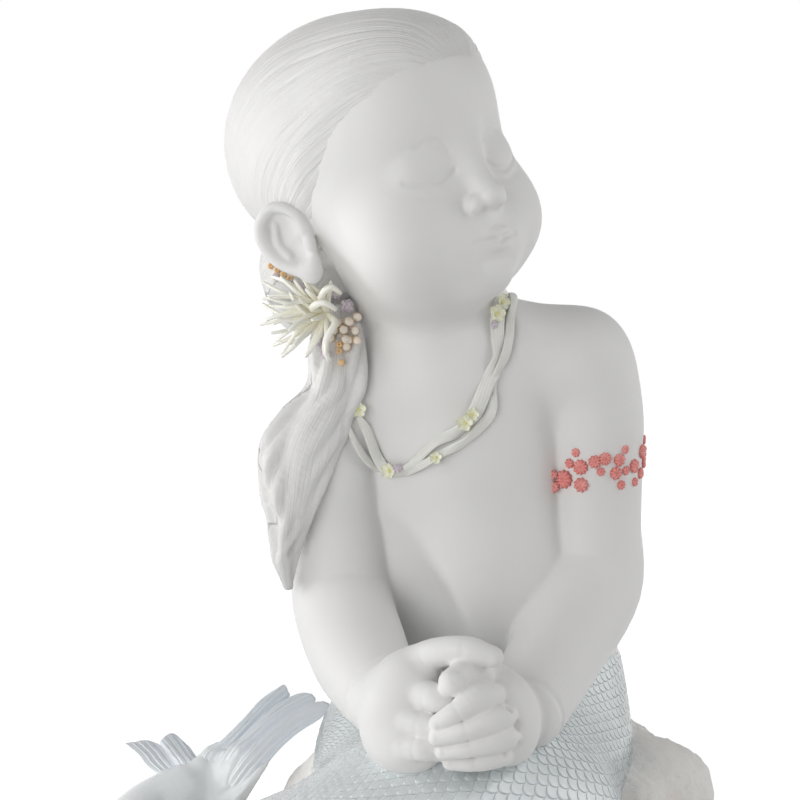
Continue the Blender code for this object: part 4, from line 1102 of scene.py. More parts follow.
def unit(vectors):
    return vectors / np.maximum(np.linalg.norm(vectors, axis=-1, keepdims=True), 1e-9)


def closed_sheet(rows, columns):
    """Faces of two grids, front then back, joined round the rim."""
    count = rows * columns
    faces = []
    for i in range(rows - 1):
        for j in range(columns - 1):
            a = i * columns + j
            b, c, d = a + columns, a + columns + 1, a + 1
            faces.append((a, d, c, b))
            faces.append((a + count, b + count, c + count, d + count))
    rim = list(range(columns))
    rim += [i * columns + columns - 1 for i in range(1, rows)]
    rim += [(rows - 1) * columns + j for j in range(columns - 2, -1, -1)]
    rim += [i * columns for i in range(rows - 2, 0, -1)]
    for k, a in enumerate(rim):
        b = rim[(k + 1) % len(rim)]
        faces.append((b, a, a + count, b + count))
    return faces


def band_faces(count, around):
    """Faces between rings of points, count of them with so many points round each."""
    faces = []
    for i in range(count - 1):
        for k in range(around):
            a = i * around + k
            b = i * around + (k + 1) % around
            faces.append((a, b, b + around, a + around))
    return faces


def tube(rows, sides, squash=1.0):
    """A round-ended tube through (x, y, z, radius) rows: its points and faces."""
    rows = np.asarray(rows, float)
    centres = rows[:, :3]
    tangents = unit(np.gradient(centres, axis=0))
    side = unit(np.cross(tangents[0], (0.31, 0.2, 0.93)))
    points = []
    for centre, tangent, radius in zip(centres, tangents, rows[:, 3]):
        side = unit(side - tangent * (side @ tangent))
        up = np.cross(tangent, side)
        for k in range(sides):
            angle = 2 * math.pi * k / sides
            points.append(centre + radius * (math.cos(angle) * side + squash * math.sin(angle) * up))
    count = len(rows)
    faces = band_faces(count, sides)
    faces.append(tuple(range(sides - 1, -1, -1)))
    faces.append(tuple((count - 1) * sides + k for k in range(sides)))
    return np.array(points), faces


def ball(centre, radius, rings=8, sides=12):
    """A ball: its points and faces."""
    points = [(0, 0, 1)]
    for i in range(1, rings):
        lift = math.pi * i / rings
        for k in range(sides):
            turn = 2 * math.pi * k / sides
            points.append((math.sin(lift) * math.cos(turn), math.sin(lift) * math.sin(turn), math.cos(lift)))
    points.append((0, 0, -1))
    faces = [(0, 1 + k, 1 + (k + 1) % sides) for k in range(sides)]
    for i in range(rings - 2):
        for k in range(sides):
            a = 1 + i * sides + k
            b = 1 + i * sides + (k + 1) % sides
            faces.append((a, a + sides, b + sides, b))
    last = len(points) - 1
    start = last - sides
    faces += [(last, start + (k + 1) % sides, start + k) for k in range(sides)]
    points = np.array(points)
    return np.array(centre) + radius * points, faces


def joined(parts):
    """Several bodies as one list of points and one of faces."""
    points = []
    faces = []
    start = 0
    for some, these in parts:
        points.append(some)
        faces += [tuple(start + i for i in face) for face in these]
        start += len(some)
    return np.concatenate(points), faces


def placed(part, point, normal, spin=0.0):
    """A small body moved onto a surface with its +Z along the normal."""
    turn = Vector(normal).to_track_quat("Z", "Y").to_matrix() @ Matrix.Rotation(spin, 3, "Z")
    return np.array(point) + part[0] @ np.array(turn).T, part[1]


def cast(clay, start, along):
    """Where a line from outside first meets the clay, and the facing there."""
    point = np.array(start, float)
    along = np.array(along, float)
    for _ in range(90):
        depth = clay.sample(point[None])[0]
        if depth < 0.02:
            break
        point = point + along * min(max(depth * 0.8, 0.02), 6)
    return point, clay.slopes(point[None])[0]


def button(radius, ribs, height):
    """A ribbed coral button with a dimple and a small knob: its points and faces."""
    profile = (
        (1.0, -0.25), (1.06, 0.1), (1.0, 0.45), (0.84, 0.78), (0.62, 0.98),
        (0.42, 0.95), (0.27, 0.62), (0.17, 0.6), (0.08, 0.86),
    )
    sides = 4 * ribs
    points = []
    for r, z in profile:
        for k in range(sides):
            turn = 2 * math.pi * k / sides
            rib = 0.5 + 0.5 * math.cos(ribs * turn)
            body = min(1.0, max(0.0, (r - 0.25) * 4)) if z > 0 else 0.4
            swell = 1 + 0.2 * (rib - 0.6) * body
            points.append((
                radius * r * swell * math.cos(turn),
                radius * r * swell * math.sin(turn),
                height * z * (1 - 0.55 * (1 - rib) ** 1.5 * body),
            ))
    points.append((0, 0, height * 0.92))
    rows = len(profile)
    faces = band_faces(rows, sides)
    top = len(points) - 1
    faces += [((rows - 1) * sides + k, (rows - 1) * sides + (k + 1) % sides, top) for k in range(sides)]
    faces.append(tuple(range(sides - 1, -1, -1)))
    return np.array(points), faces


def add_arm_corals(body):
    """The band of coral buttons on the skin; those by the chest are cast straight from the front."""
    for i, (degrees, height, radius) in enumerate(ARM_CORALS):
        angle = math.radians(degrees)
        out = np.array((math.sin(angle), -math.cos(angle), 0))
        inward = -out if degrees > -10 else np.array((0.0, 1.0, 0.0))
        start = np.array((*ARM_MIDDLE, height)) + out * ARM_RADIUS - inward * 30
        point, facing = cast(body, start, inward)
        facing = unit(facing + out)
        ribs = 7 + i % 3 + int(2 * (radius - 1.2))
        tall = radius * (0.66 + 0.14 * math.sin(2.3 * i))
        points, faces = placed(button(radius, ribs, tall), point, facing, 0.7 * i)
        obj = solid(f"coral_button_{i + 1:02d}", points, faces, "coral")
        rise = (points - point) @ facing / tall
        reach = np.linalg.norm(np.cross(points - point, facing), axis=1) / radius
        # relief is the height on the button, which the coral look paints as highlight on the ribs and top;
        # middle marks the dimple and knob, painted darker
        paint(obj, "relief", np.clip(rise, 0, 1))
        paint(obj, "middle", 1 - smooth((reach - 0.18) / 0.2))
        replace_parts(obj, f"arm_coral_{i + 1:02d}")


def necklace_line(body, path):
    """Points along a band on the skin, each with its outward and its sideways direction."""
    points = ease([(*row, 0) for row in path], RIBBON_POINTS)[:, :3]
    for _ in range(3):
        for _ in range(4):
            points = points - body.slopes(points) * body.sample(points)[:, None]
        for _ in range(6):
            points[1:-1] = (points[:-2] + 2 * points[1:-1] + points[2:]) / 4
    normals = body.slopes(points)
    for _ in range(20):
        normals[1:-1] = (normals[:-2] + 2 * normals[1:-1] + normals[2:]) / 4
    normals = unit(normals)
    return points, normals, unit(np.cross(normals, np.gradient(points, axis=0)))


def ribbon_section():
    """A flat band's outline with rounded edges and fine lengthwise grooves: across and up, both -1 to 1."""
    across = np.linspace(-1, 1, 15)
    top = 0.75 + 0.25 * np.cos(5 * math.pi * across)
    top = top * np.sqrt(np.maximum(1 - across**8, 0))
    upper = list(zip(across, top))
    lower = [(x, -0.75 * y) for x, y in upper[::-1][1:-1:2]]
    return np.array(upper + lower)


def add_ribbon(line, name, phase, widths):
    """One band of the twisted pair: it rolls, folds, and passes over and under its twin."""
    points, normals, sides = line
    count = len(points)
    share = np.linspace(0, 1, count)
    turn = 2 * math.pi * 4.5 * share + phase
    rise = 0.7 + 0.5 * (1 + np.tanh(2 * np.sin(turn)))
    centre = points + normals * rise[:, None]
    roll = 0.55 * np.sin(turn * 1.5 + 0.8) + 0.2 * np.sin(3.1 * turn)
    broad = sides * np.cos(roll)[:, None] + normals * np.sin(roll)[:, None]
    up = unit(np.cross(np.gradient(centre, axis=0), broad))
    up *= np.sign((up * normals).sum(1))[:, None]
    width = np.interp(share, np.linspace(0, 1, len(widths)), widths)
    taper = np.minimum(1, 0.35 + 8 * np.minimum(share, 1 - share))
    section = ribbon_section()
    lift = 0.5 * section[:, 1] + 0.48 * (1 - section[:, 0] ** 2)
    rings = []
    for k in range(count):
        across = section[:, 0] * width[k] * taper[k]
        rings.append(centre[k] + np.outer(across, broad[k]) + np.outer(lift, up[k]))
    around = len(section)
    faces = [(a, d, c, b) for a, b, c, d in band_faces(count, around)]
    faces.append(tuple(range(around)))
    faces.append(tuple((count - 1) * around + k for k in range(around - 1, -1, -1)))
    obj = solid(name, np.concatenate(rings), faces, "ribbon")
    # the height of the fine grooves, which the ribbon look paints as light and shade
    paint(obj, "relief", np.tile(0.5 + 0.5 * np.cos(5 * math.pi * section[:, 0]), count))
    return obj, (centre, up)


def petal(radius, turn, lift):
    """One cupped petal with a notched round end: a thin closed body."""
    rows, columns = 7, 8
    thick = 0.07 * radius
    front = []
    back = []
    for a in np.linspace(-1, 1, rows):
        for t in np.linspace(0, 1, columns):
            wide = 0.52 * math.sin(math.pi * min(1, 0.12 + 0.8 * t) ** 1.1) ** 0.7
            x = radius * (0.12 + t * (0.98 - 0.1 * a * a))
            y = radius * a * wide
            z = radius * (lift * t**1.5 + 0.28 * a * a * t + 0.03 * math.sin(9 * a))
            turned = (x * math.cos(turn) - y * math.sin(turn), x * math.sin(turn) + y * math.cos(turn))
            front.append((*turned, z + thick))
            back.append((*turned, z - thick))
    return np.array(front + back), [face[::-1] for face in closed_sheet(rows, columns)]


def flower_parts(radius, seed):
    """Five petals, and a heart of round grains."""
    petals = []
    for k in range(5):
        turn = 2 * math.pi * k / 5 + 0.1 * math.sin(3 * k + seed)
        petals.append(petal(1.12 * radius, turn, 0.34))
    heart = [ball((0, 0, 0.2 * radius), 0.2 * radius, 6, 8)]
    for k in range(6):
        turn = 2 * math.pi * k / 6 + seed
        side = 0.23 * radius
        place = (side * math.cos(turn), side * math.sin(turn), 0.3 * radius)
        heart.append(ball(place, 0.11 * radius, 5, 7))
    return joined(petals), joined(heart)


def first_hit(clays, x, height):
    """Where a level line from the front first meets any of the clays, and the facing there."""
    hits = [cast(clay, (x, VIEWER_Y, height), (0, 1, 0)) for clay in clays]
    return min(hits, key=lambda hit: hit[0][1])


def topmost(body, ribbons, x, height):
    """Where a level line from the front first meets the skin or a ribbon, and the skin's facing there."""
    point, facing = first_hit([body], x, height)
    lift = 0.0
    for centre, up in ribbons:
        away = np.linalg.norm(centre - point, axis=1)
        k = int(away.argmin())
        if away[k] < 4.5:
            lift = max(lift, float((centre[k] - point) @ facing) + 0.9)
    return point + facing * lift, facing


def add_necklace_trim(body, ribbons):
    """The flowers and buds that lie on the necklace."""
    for i, (x, height, radius) in enumerate(NECKLACE_FLOWERS):
        point, facing = topmost(body, ribbons, x, height)
        facing = unit(facing + np.array((0, -0.5, 0.05)))
        petals, heart = flower_parts(radius, i)
        for part, kind, slot in ((petals, "petals", "petal"), (heart, "heart", "petal")):
            points, faces = placed(part, point + facing * 0.25, facing, 1.3 * i)
            obj = solid(f"flower_{kind}_{i + 1}", points, faces, slot, kind)
            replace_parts(obj, f"necklace_flower_{i + 1}")
    for i, (x, height, radius) in enumerate(NECKLACE_BUDS):
        point, facing = topmost(body, ribbons, x, height)
        points, faces = grainy_nub(point + facing * 0.7 * radius, 1.15 * radius, 26, i)
        obj = solid(f"lilac_bud_{i + 1}", points, faces, "lilac")
        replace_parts(obj, f"necklace_bud_{i + 1}")


def grainy_nub(centre, radius, count, seed):
    """A bud covered with little round grains."""
    parts = [ball(centre, 0.82 * radius, 8, 10)]
    for k in range(count):
        lift = 1 - 2 * (k + 0.5) / count
        turn = GOLDEN_TURN * k + seed
        flat = math.sqrt(1 - lift * lift)
        way = np.array((flat * math.cos(turn), flat * math.sin(turn), lift))
        size = radius * (0.2 + 0.07 * math.sin(5.1 * k + seed))
        parts.append(ball(np.array(centre) + way * radius * 0.84, size, 5, 7))
    return joined(parts)


def anemone_arm(root, tip, i):
    """Rows of points and radii along one arm, with a bow of its own and a rounded end."""
    root = np.array(root, float)
    tip = np.array(tip, float)
    run = tip - root
    bow = np.array((1.2 * math.sin(1.7 * i), -3.4, 3.4 * math.sin(2.3 * i)))
    rows = []
    for k in range(13):
        t = k / 12
        hook = 1.4 * math.sin(2.9 * i + 1) * t**3
        point = root + run * t + bow * math.sin(math.pi * t**0.85) * (0.7 + 0.3 * math.sin(i))
        thick = (0.95 - 0.12 * t + 0.1 * math.sin(2.7 * i)) * (1 - 0.3 * t**6)
        rows.append((point[0], point[1], point[2] + hook, thick))
    end = rows[-1]
    way = np.array(end[:3]) - np.array(rows[-2][:3])
    way = way / np.linalg.norm(way)
    for share in (0.55, 0.85, 0.99):
        point = np.array(end[:3]) + way * end[3] * share
        rows.append((*point, max(0.08, end[3] * math.sqrt(1 - share * share))))
    return rows


def add_anemone():
    """The sea flower: many straight arms, a few that bend back toward the viewer, and a round middle."""
    root = np.array(ORNAMENT_ROOT)
    arms = [tube(anemone_arm(root, tip, i), 9, 0.85) for i, tip in enumerate(ANEMONE_TIPS)]
    arms += [tube(ease(rows, 14), 9) for rows in CURLED_ARMS]
    arms.append(ball(root + np.array((-1.5, 0, 0)), 3.4, 8, 12))
    points, faces = joined(arms)
    obj = solid("sea_anemone", points, faces, "anemone")
    reach = np.linalg.norm(points - root, axis=1)
    paint(obj, "relief", smooth((reach - 3) / 14))
    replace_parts(obj, "hair_anemone")


def add_pearls_and_gold(clays):
    """The pearl cluster in gold rings, the row of gold beads, and the drop that ends in a ball."""
    pearls = [front_rest(clays, *row) for row in PEARLS]
    obj = solid("pearls", *joined([ball(p, r, 10, 14) for p, r in pearls]), "pearl")
    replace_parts(obj, "hair_pearls")
    rings = []
    for p, r in pearls:
        middle = p + np.array((0, 0.35 * r, 0))
        rings.append(tube(circle(middle, (0.2, 1, 0.3), 0.95 * r, 0.28), 6))
    beads = [front_rest(clays, *row) for row in GOLD_BEADS]
    bead_rings = [tube(circle(p, (0.5, -0.8, 0.4), 0.62 * r, 0.42 * r), 8) for p, r in beads]
    obj = solid("gold_rings", *joined(rings + bead_rings), "gold")
    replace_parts(obj, "hair_gold_beads")
    drops = [front_rest(clays, *row) for row in GOLD_DROP]
    drop_rings = [tube(circle(p, (0.2, -1, 0.25), 0.6 * r, 0.4 * r), 8) for p, r in drops[:-1]]
    last, size = drops[-1]
    drop_rings.append(ball(last, 0.9 * size, 8, 12))
    obj = solid("gold_drop", *joined(drop_rings), "gold")
    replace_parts(obj, "hair_gold_drop")


def add_buds(clays):
    """The lilac buds round the sea flower."""
    for i, row in enumerate(HAIR_CORALS):
        point, radius = front_rest(clays, *row)
        obj = solid(f"hair_bud_{i + 1}", *grainy_nub(point, 1.1 * radius, 34, i), "lilac")
        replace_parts(obj, f"hair_coral_{i + 1}")
    for i, row in enumerate(SIDE_BUDS):
        point, radius = front_rest(clays, *row)
        obj = solid(f"side_bud_{i + 1}", *grainy_nub(point, 1.1 * radius, 34, i), "lilac")
        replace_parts(obj, "hair_coral_5")


def front_rest(clays, x, height, radius):
    """A ball's middle where it rests against what a level line from the front meets, and its radius."""
    point, facing = first_hit(clays, x, height)
    return point + facing * (radius + 0.2), radius


def circle(centre, axis, radius, thick, steps=14):
    """A closed circle of (x, y, z, radius) rows round an axis."""
    axis = unit(np.array(axis, float))
    side = unit(np.cross(axis, (0.1, 0.2, 1.0)))
    up = np.cross(axis, side)
    turns = np.linspace(0, 2 * math.pi, steps)
    ring_points = np.array(centre) + radius * (np.outer(np.cos(turns), side) + np.outer(np.sin(turns), up))
    return np.column_stack([ring_points, np.full(steps, thick)])


def sculpt_rock():
    """The boulder, lumpy and pitted, cut level where it stands."""
    clay = Clay(*ROCK_BOX, ROCK_GRAIN)
    add_rock(clay)
    roughen_rock(clay)
    x, y, z, near = clay.near(4)
    pits = 0.5 * np.sin(0.9 * x + 0.7 * np.sin(0.8 * y)) * np.sin(0.85 * y + 0.9 * np.sin(0.7 * z))
    pits = pits + 0.35 * np.sin(1.7 * x + 1.1 * y) * np.sin(1.6 * z - 1.3 * y + 0.8 * np.sin(x))
    clay.depth[near] += pits
    clay.slice_level(0, True)
    obj = skinned("sandy_rock", clay, "rock")
    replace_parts(obj, "rock_base")


class Look:
    """A Principled material built up node by node."""

    def __init__(self, name, color, roughness, coat=0.0, specular=0.5):
        self.material = bpy.data.materials.new(name)
        self.material.use_nodes = True
        self.tree = self.material.node_tree
        self.shader = self.tree.nodes["Principled BSDF"]
        self.shader.inputs["Base Color"].default_value = (*color, 1)
        self.shader.inputs["Roughness"].default_value = roughness
        self.shader.inputs["Specular IOR Level"].default_value = specular
        if coat:
            self.shader.inputs["Coat Weight"].default_value = coat
            self.shader.inputs["Coat Roughness"].default_value = 0.06
        self.color = None
        self.place = self.tree.nodes.new("ShaderNodeTexCoord").outputs["Object"]

    def link(self, a, b):
        self.tree.links.new(a, b)

    def noise(self, size_mm, detail=3.0, rough=0.55, place=None, scale=1.0):
        node = self.tree.nodes.new("ShaderNodeTexNoise")
        node.inputs["Scale"].default_value = 1000 / size_mm if size_mm else scale
        node.inputs["Detail"].default_value = detail
        node.inputs["Roughness"].default_value = rough
        self.link(place or self.place, node.inputs["Vector"])
        return node.outputs["Fac"]

    def math(self, operation, *values):
        node = self.tree.nodes.new("ShaderNodeMath")
        node.operation = operation
        for socket, value in zip(node.inputs, values):
            if isinstance(value, (int, float)):
                socket.default_value = value
            else:
                self.link(value, socket)
        return node.outputs[0]

    def plus(self, a, b):
        return self.math("ADD", a, b)

    def less(self, a, b):
        return self.math("SUBTRACT", a, b)

    def times(self, a, b):
        return self.math("MULTIPLY", a, b)

    def join(self, x, y):
        node = self.tree.nodes.new("ShaderNodeCombineXYZ")
        self.link(x, node.inputs[0])
        self.link(y, node.inputs[1])
        return node.outputs[0]

    def painted(self, name):
        node = self.tree.nodes.new("ShaderNodeAttribute")
        node.attribute_name = name
        return node.outputs["Fac"]

    def ramp(self, value, low, high, to_low=0.0, to_high=1.0):
        node = self.tree.nodes.new("ShaderNodeMapRange")
        for socket, number in zip(node.inputs[1:5], (low, high, to_low, to_high)):
            socket.default_value = number
        self.link(value, node.inputs[0])
        return node.outputs[0]

    def tint(self, value, color):
        """Mixes another colour in where the value is high."""
        node = self.tree.nodes.new("ShaderNodeMix")
        node.data_type = "RGBA"
        base = self.shader.inputs["Base Color"]
        node.inputs[6].default_value = base.default_value
        if self.color:
            self.link(self.color, node.inputs[6])
        node.inputs[7].default_value = (*color, 1)
        self.link(value, node.inputs[0])
        self.color = node.outputs[2]
        self.link(self.color, base)
        return self

    def bump(self, value, depth_mm):
        node = self.tree.nodes.new("ShaderNodeBump")
        node.inputs["Distance"].default_value = depth_mm * MM
        node.inputs["Strength"].default_value = 1.0
        self.link(value, node.inputs["Height"])
        self.link(node.outputs["Normal"], self.shader.inputs["Normal"])
        return self

    def roughness(self, value, low, high):
        self.link(self.ramp(value, 0.3, 0.7, low, high), self.shader.inputs["Roughness"])
        return self


def look_bisque():
    look = Look("bisque", (0.79, 0.785, 0.77), 0.55, specular=0.35)
    look.tint(look.ramp(look.noise(38), 0.35, 0.75), (0.815, 0.81, 0.8))
    look.bump(look.noise(0.7, 2), 0.03)
    return look


def look_hair():
    """The same bisque with hair lines finer than the grid."""
    look = Look("hair", (0.79, 0.785, 0.77), 0.55, specular=0.35)
    look.tint(look.ramp(look.noise(38), 0.35, 0.75), (0.815, 0.81, 0.8))
    place = look.join(look.painted("strand"), look.times(look.painted("flow"), 0.03))
    fine = look.noise(0, 2.5, 0.6, place, 0.62)
    look.bump(fine, 0.52)
    return look


def look_tail():
    look = Look("tail_glaze", (0.68, 0.73, 0.74), 0.2, coat=0.45)
    height, edge = scale_nodes(look, look.painted("across"), look.painted("down"))
    bare = look.ramp(look.painted("plain"), 0, 1, 1, 0)
    height = look.times(height, bare)
    look.tint(look.ramp(look.noise(30), 0.4, 0.7, 0, 0.5), (0.77, 0.81, 0.815))
    # painted highlight: each scale's dome is lighter toward its top
    look.tint(look.times(look.ramp(height, 0.4, 0.9), 0.65), (0.87, 0.9, 0.905))
    # painted shade: a dark line along each scale's free edge, where it drops onto the next row
    look.tint(look.times(look.times(edge, bare), 0.7), (0.45, 0.54, 0.6))
    look.tint(look.ramp(look.painted("pale"), 0.0, 1.0, 0, 0.93), (0.9, 0.925, 0.935))
    look.bump(height, 0.7)
    look.roughness(look.noise(3.5), 0.14, 0.26)
    return look


def scale_nodes(look, across, down):
    """Overlapping round scales as nodes: each scale's dome, 0 to 1, and the thin line at its free edge,
    which is painted as shade.
    """
    dome = edge = 0.0
    for back in (0, 1):
        row = look.less(look.math("FLOOR", down), back)
        shift = look.plus(across, look.times(look.math("PINGPONG", row, 1.0), 0.5))
        off = look.times(look.less(look.math("FRACT", shift), 0.5), 2.0)
        arch = look.math("SQRT", look.math("MAXIMUM", look.less(1.0, look.times(off, off)), 0.0))
        reach = look.plus(look.times(arch, 0.95), 0.55)
        share = look.math("DIVIDE", look.less(down, row), reach)
        inside = look.math("LESS_THAN", share, 1.0)
        flank = look.less(1.0, look.times(look.times(off, off), 0.35))
        rise = look.times(look.math("POWER", share, 1.3), flank)
        rise = look.times(rise, look.ramp(share, 0.86, 1.0, 1, 0))
        # the band just inside the free edge, where the tail's look paints a line of shade
        line = look.ramp(share, 0.74, 0.97)
        dome = look.plus(look.times(rise, inside), look.times(dome, look.less(1.0, inside)))
        edge = look.plus(look.times(line, inside), look.times(edge, look.less(1.0, inside)))
    return dome, edge


def look_fin():
    look = Look("fin_glaze", (0.92, 0.935, 0.94), 0.34, coat=0.15)
    look.tint(look.ramp(look.painted("blue"), 0.0, 1.0, 0, 0.75), (0.87, 0.92, 0.97))
    # painted shade in the valleys by the leaf steps and between the ribs
    look.tint(look.ramp(look.painted("painted_valley_shade"), 0.0, 1.2, 0, 0.6), (0.77, 0.84, 0.93))
    look.tint(look.ramp(look.noise(9), 0.45, 0.7, 0, 0.3), (0.86, 0.88, 0.9))
    look.bump(look.noise(1.2, 2), 0.04)
    return look


def look_rock():
    look = Look("rock", (0.94, 0.92, 0.885), 0.85, specular=0.25)
    look.tint(look.ramp(look.noise(30, 4), 0.4, 0.65), (0.95, 0.94, 0.915))
    look.tint(look.ramp(look.noise(17, 4), 0.56, 0.74, 0, 0.45), (0.84, 0.74, 0.68))
    look.tint(look.ramp(look.noise(2.2, 5), 0.55, 0.7, 0, 0.3), (0.76, 0.73, 0.69))
    look.bump(look.noise(1.8, 6, 0.7), 0.7)
    return look


def look_ribbon():
    look = Look("ribbon", (0.76, 0.755, 0.71), 0.42, specular=0.4)
    # painted shade: the fine grooves darker and the ridges between them lighter
    look.tint(look.ramp(look.painted("relief"), 0.1, 0.9), (0.83, 0.83, 0.795))
    look.tint(look.ramp(look.noise(6), 0.45, 0.7, 0, 0.4), (0.86, 0.86, 0.83))
    look.bump(look.noise(0.5, 2), 0.03)
    return look


def look_petal():
    look = Look("petal", (0.88, 0.88, 0.66), 0.4)
    look.tint(look.ramp(look.noise(1.3), 0.4, 0.65), (0.91, 0.91, 0.79))
    look.bump(look.noise(0.35, 2), 0.04)
    return look


def look_heart():
    look = Look("heart", (0.82, 0.78, 0.36), 0.45)
    look.tint(look.ramp(look.noise(0.8), 0.4, 0.65), (0.88, 0.86, 0.52))
    look.bump(look.noise(0.3, 2), 0.04)
    return look


def look_lilac():
    look = Look("lilac", (0.62, 0.54, 0.6), 0.55)
    look.tint(look.ramp(look.noise(1.0), 0.4, 0.65), (0.76, 0.7, 0.75))
    look.bump(look.noise(0.3, 2), 0.05)
    return look


def look_anemone():
    look = Look("anemone", (0.93, 0.9, 0.72), 0.28, coat=0.3)
    look.tint(look.ramp(look.painted("relief"), 0.0, 1.0), (0.95, 0.935, 0.85))
    look.tint(look.ramp(look.noise(2.6), 0.5, 0.72, 0, 0.5), (0.93, 0.93, 0.89))
    look.bump(look.noise(0.6, 2), 0.05)
    return look


def look_pearl():
    look = Look("pearl", (0.93, 0.83, 0.7), 0.24, coat=0.5)
    look.tint(look.ramp(look.noise(1.8), 0.42, 0.66), (0.95, 0.89, 0.8))
    look.bump(look.noise(0.5, 2), 0.02)
    return look


def look_gold():
    look = Look("gold", (0.84, 0.5, 0.2), 0.3, coat=0.3)
    look.tint(look.ramp(look.noise(1.2), 0.42, 0.68), (0.9, 0.64, 0.34))
    look.bump(look.noise(0.4, 2), 0.03)
    return look


def look_coral():
    look = Look("coral", (0.62, 0.17, 0.15), 0.42, specular=0.4)
    # painted highlight: the raised ribs and top of each button are lighter
    look.tint(look.ramp(look.painted("relief"), 0.2, 0.8), (0.9, 0.35, 0.32))
    # darker red over the dimple and knob in the middle
    look.tint(look.ramp(look.painted("middle"), 0.4, 1.0, 0, 0.5), (0.7, 0.21, 0.19))
    look.tint(look.ramp(look.noise(5), 0.5, 0.72, 0, 0.6), (0.93, 0.5, 0.46))
    look.bump(look.noise(0.35, 2), 0.06)
    return look


LOOKS = {
    "bisque": look_bisque,
    "hair": look_hair,
    "tail_glaze": look_tail,
    "fin_glaze": look_fin,
    "rock": look_rock,
    "ribbon": look_ribbon,
    "petals": look_petal,
    "heart": look_heart,
    "lilac": look_lilac,
    "anemone": look_anemone,
    "pearl": look_pearl,
    "gold": look_gold,
    "coral": look_coral,
}
FINISHES = {}


def material_of(name):
    if name not in FINISHES:
        FINISHES[name] = LOOKS[name]().material
    return FINISHES[name]


def add_floor():
    """A wide pale floor that reads as white in the picture and keeps a soft shadow of the object."""
    mesh = bpy.data.meshes.new("floor")
    reach = FLOOR_REACH
    corners = [(-reach, -reach, 0), (reach, -reach, 0), (reach, reach, 0), (-reach, reach, 0)]
    mesh.from_pydata(corners, [], [(0, 1, 2, 3)])
    floor = bpy.data.objects.new("floor", mesh)
    bpy.context.scene.collection.objects.link(floor)
    material = bpy.data.materials.new("floor")
    material.use_nodes = True
    nodes = material.node_tree.nodes
    links = material.node_tree.links
    shader = nodes["Principled BSDF"]
    shader.inputs["Base Color"].default_value = (0.9, 0.9, 0.9, 1)
    shader.inputs["Roughness"].default_value = 0.9
    glow = nodes.new("ShaderNodeEmission")
    glow.inputs["Color"].default_value = (1, 1, 1, 1)
    glow.inputs["Strength"].default_value = GLOW_STRENGTH
    mix = nodes.new("ShaderNodeMixShader")
    links.new(seen_share(nodes, links, FLOOR_GLOW), mix.inputs[0])
    links.new(shader.outputs[0], mix.inputs[1])
    links.new(glow.outputs[0], mix.inputs[2])
    links.new(mix.outputs[0], nodes["Material Output"].inputs[0])
    mesh.materials.append(material)


def seen_share(nodes, links, share):
    """The given share for rays that see a surface directly or in gloss, and 0 for the rest."""
    path = nodes.new("ShaderNodeLightPath")
    total = path.outputs["Is Camera Ray"]
    for name in ("Is Glossy Ray", "Is Transmission Ray"):
        add = nodes.new("ShaderNodeMath")
        add.operation = "MAXIMUM"
        links.new(total, add.inputs[0])
        links.new(path.outputs[name], add.inputs[1])
        total = add.outputs[0]
    scale = nodes.new("ShaderNodeMath")
    scale.operation = "MULTIPLY"
    scale.inputs[1].default_value = share
    links.new(total, scale.inputs[0])
    return scale.outputs[0]


def add_world():
    world = bpy.data.worlds.new("studio")
    world.use_nodes = True
    nodes = world.node_tree.nodes
    links = world.node_tree.links
    soft = nodes["Background"]
    soft.inputs["Color"].default_value = (1, 1, 1, 1)
    soft.inputs["Strength"].default_value = WORLD_LIGHT
    white = nodes.new("ShaderNodeBackground")
    white.inputs["Color"].default_value = (1, 1, 1, 1)
    mix = nodes.new("ShaderNodeMixShader")
    links.new(seen_share(nodes, links, 1.0), mix.inputs[0])
    links.new(soft.outputs[0], mix.inputs[1])
    links.new(white.outputs[0], mix.inputs[2])
    links.new(mix.outputs[0], nodes["World Output"].inputs[0])
    bpy.context.scene.world = world


def add_lamp(name, around, up, distance, size, power):
    around, up = math.radians(around), math.radians(up)
    way = Vector((math.sin(around) * math.cos(up), -math.cos(around) * math.cos(up), math.sin(up)))
    lamp = bpy.data.lights.new(name, "AREA")
    lamp.size = size
    lamp.energy = power
    obj = bpy.data.objects.new(name, lamp)
    obj.location = Vector(AIM) + distance * way
    obj.rotation_euler = way.to_track_quat("Z", "Y").to_euler()
    bpy.context.scene.collection.objects.link(obj)


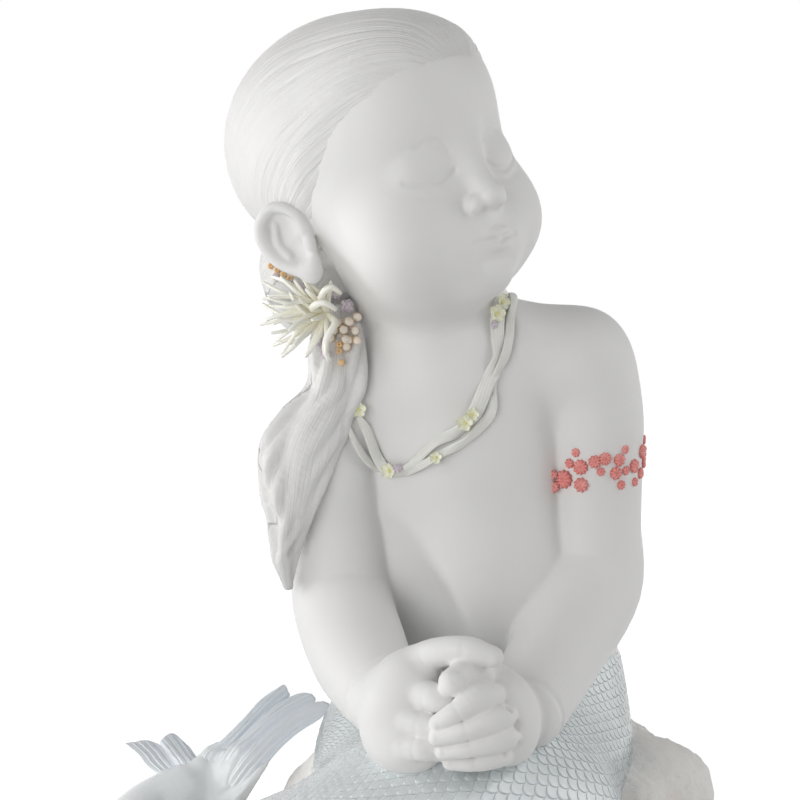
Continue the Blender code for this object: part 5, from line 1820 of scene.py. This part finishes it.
def add_camera():
    tilt = math.radians(CAMERA_TILT)
    data = bpy.data.cameras.new("camera")
    camera = bpy.data.objects.new("camera", data)
    camera.location = Vector(AIM) + CAMERA_REACH * Vector((0, -math.cos(tilt), math.sin(tilt)))
    camera.rotation_euler = (math.radians(90 - CAMERA_TILT), 0, 0)
    data.sensor_width = SENSOR_WIDTH
    data.lens = SENSOR_WIDTH * CAMERA_REACH / FRAME_WIDTH
    data.clip_start = 0.01
    bpy.context.scene.collection.objects.link(camera)
    bpy.context.scene.camera = camera


def add_skin():
    """Body and hands from one recipe at two grain sizes, handing over to each other and to the head's own
    skin.
    """
    body = Clay(*BODY_BOX, BODY_GRAIN)
    sculpt_skin(body)
    whole = body.copy()
    give_way(body, head_zone(body))
    give_way(body, hand_zone(body))
    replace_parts(skinned("torso_and_arms", body, "bisque", whole), "upper_body")

    hands = Clay(*HAND_BOX, HAND_GRAIN)
    sculpt_skin(hands)
    true_hands = hands.copy()
    hands.depth = np.maximum(hands.depth, -hand_zone(hands))
    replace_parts(skinned("clasped_hands", hands, "bisque", true_hands), "upper_body")
    return whole


def add_head_skin(hair):
    head = Clay(*HEAD_BOX, HEAD_GRAIN)
    sculpt_skin(head)
    whole = head.copy()
    head.depth = np.maximum(head.depth, -head_zone(head))
    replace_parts(skinned("head_skin", head, "bisque", whole, hidden=hair), "upper_body")
    return whole


def main():
    add_camera()
    add_world()
    add_floor()
    for lamp in LAMPS:
        add_lamp(*lamp)
    hair = sculpt_hair()
    combed = skinned("combed_hair", hair, "bisque", look="hair")
    paint_strands(combed)
    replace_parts(combed, "upper_body")
    add_head_skin(hair)
    body = add_skin()
    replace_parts(sculpt_tail(), "tail")
    for side, half in zip(("right", "left"), FLUKE):
        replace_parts(add_fin(f"fluke_{side}", *half), "tail")
    sculpt_rock()
    add_arm_corals(body)
    ribbons = []
    for i, (path, widths) in enumerate(zip(RIBBON_PATHS, RIBBON_WIDTHS)):
        obj, run = add_ribbon(necklace_line(body, path), f"ribbon_{i + 1}", math.pi * i, widths)
        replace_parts(obj, f"necklace_ribbon_{i + 1}")
        ribbons.append(run)
    add_necklace_trim(body, ribbons)
    add_anemone()
    add_pearls_and_gold([body, hair])
    add_buds([body, hair])


main()
bpy.context.scene.view_settings.view_transform = "Standard"
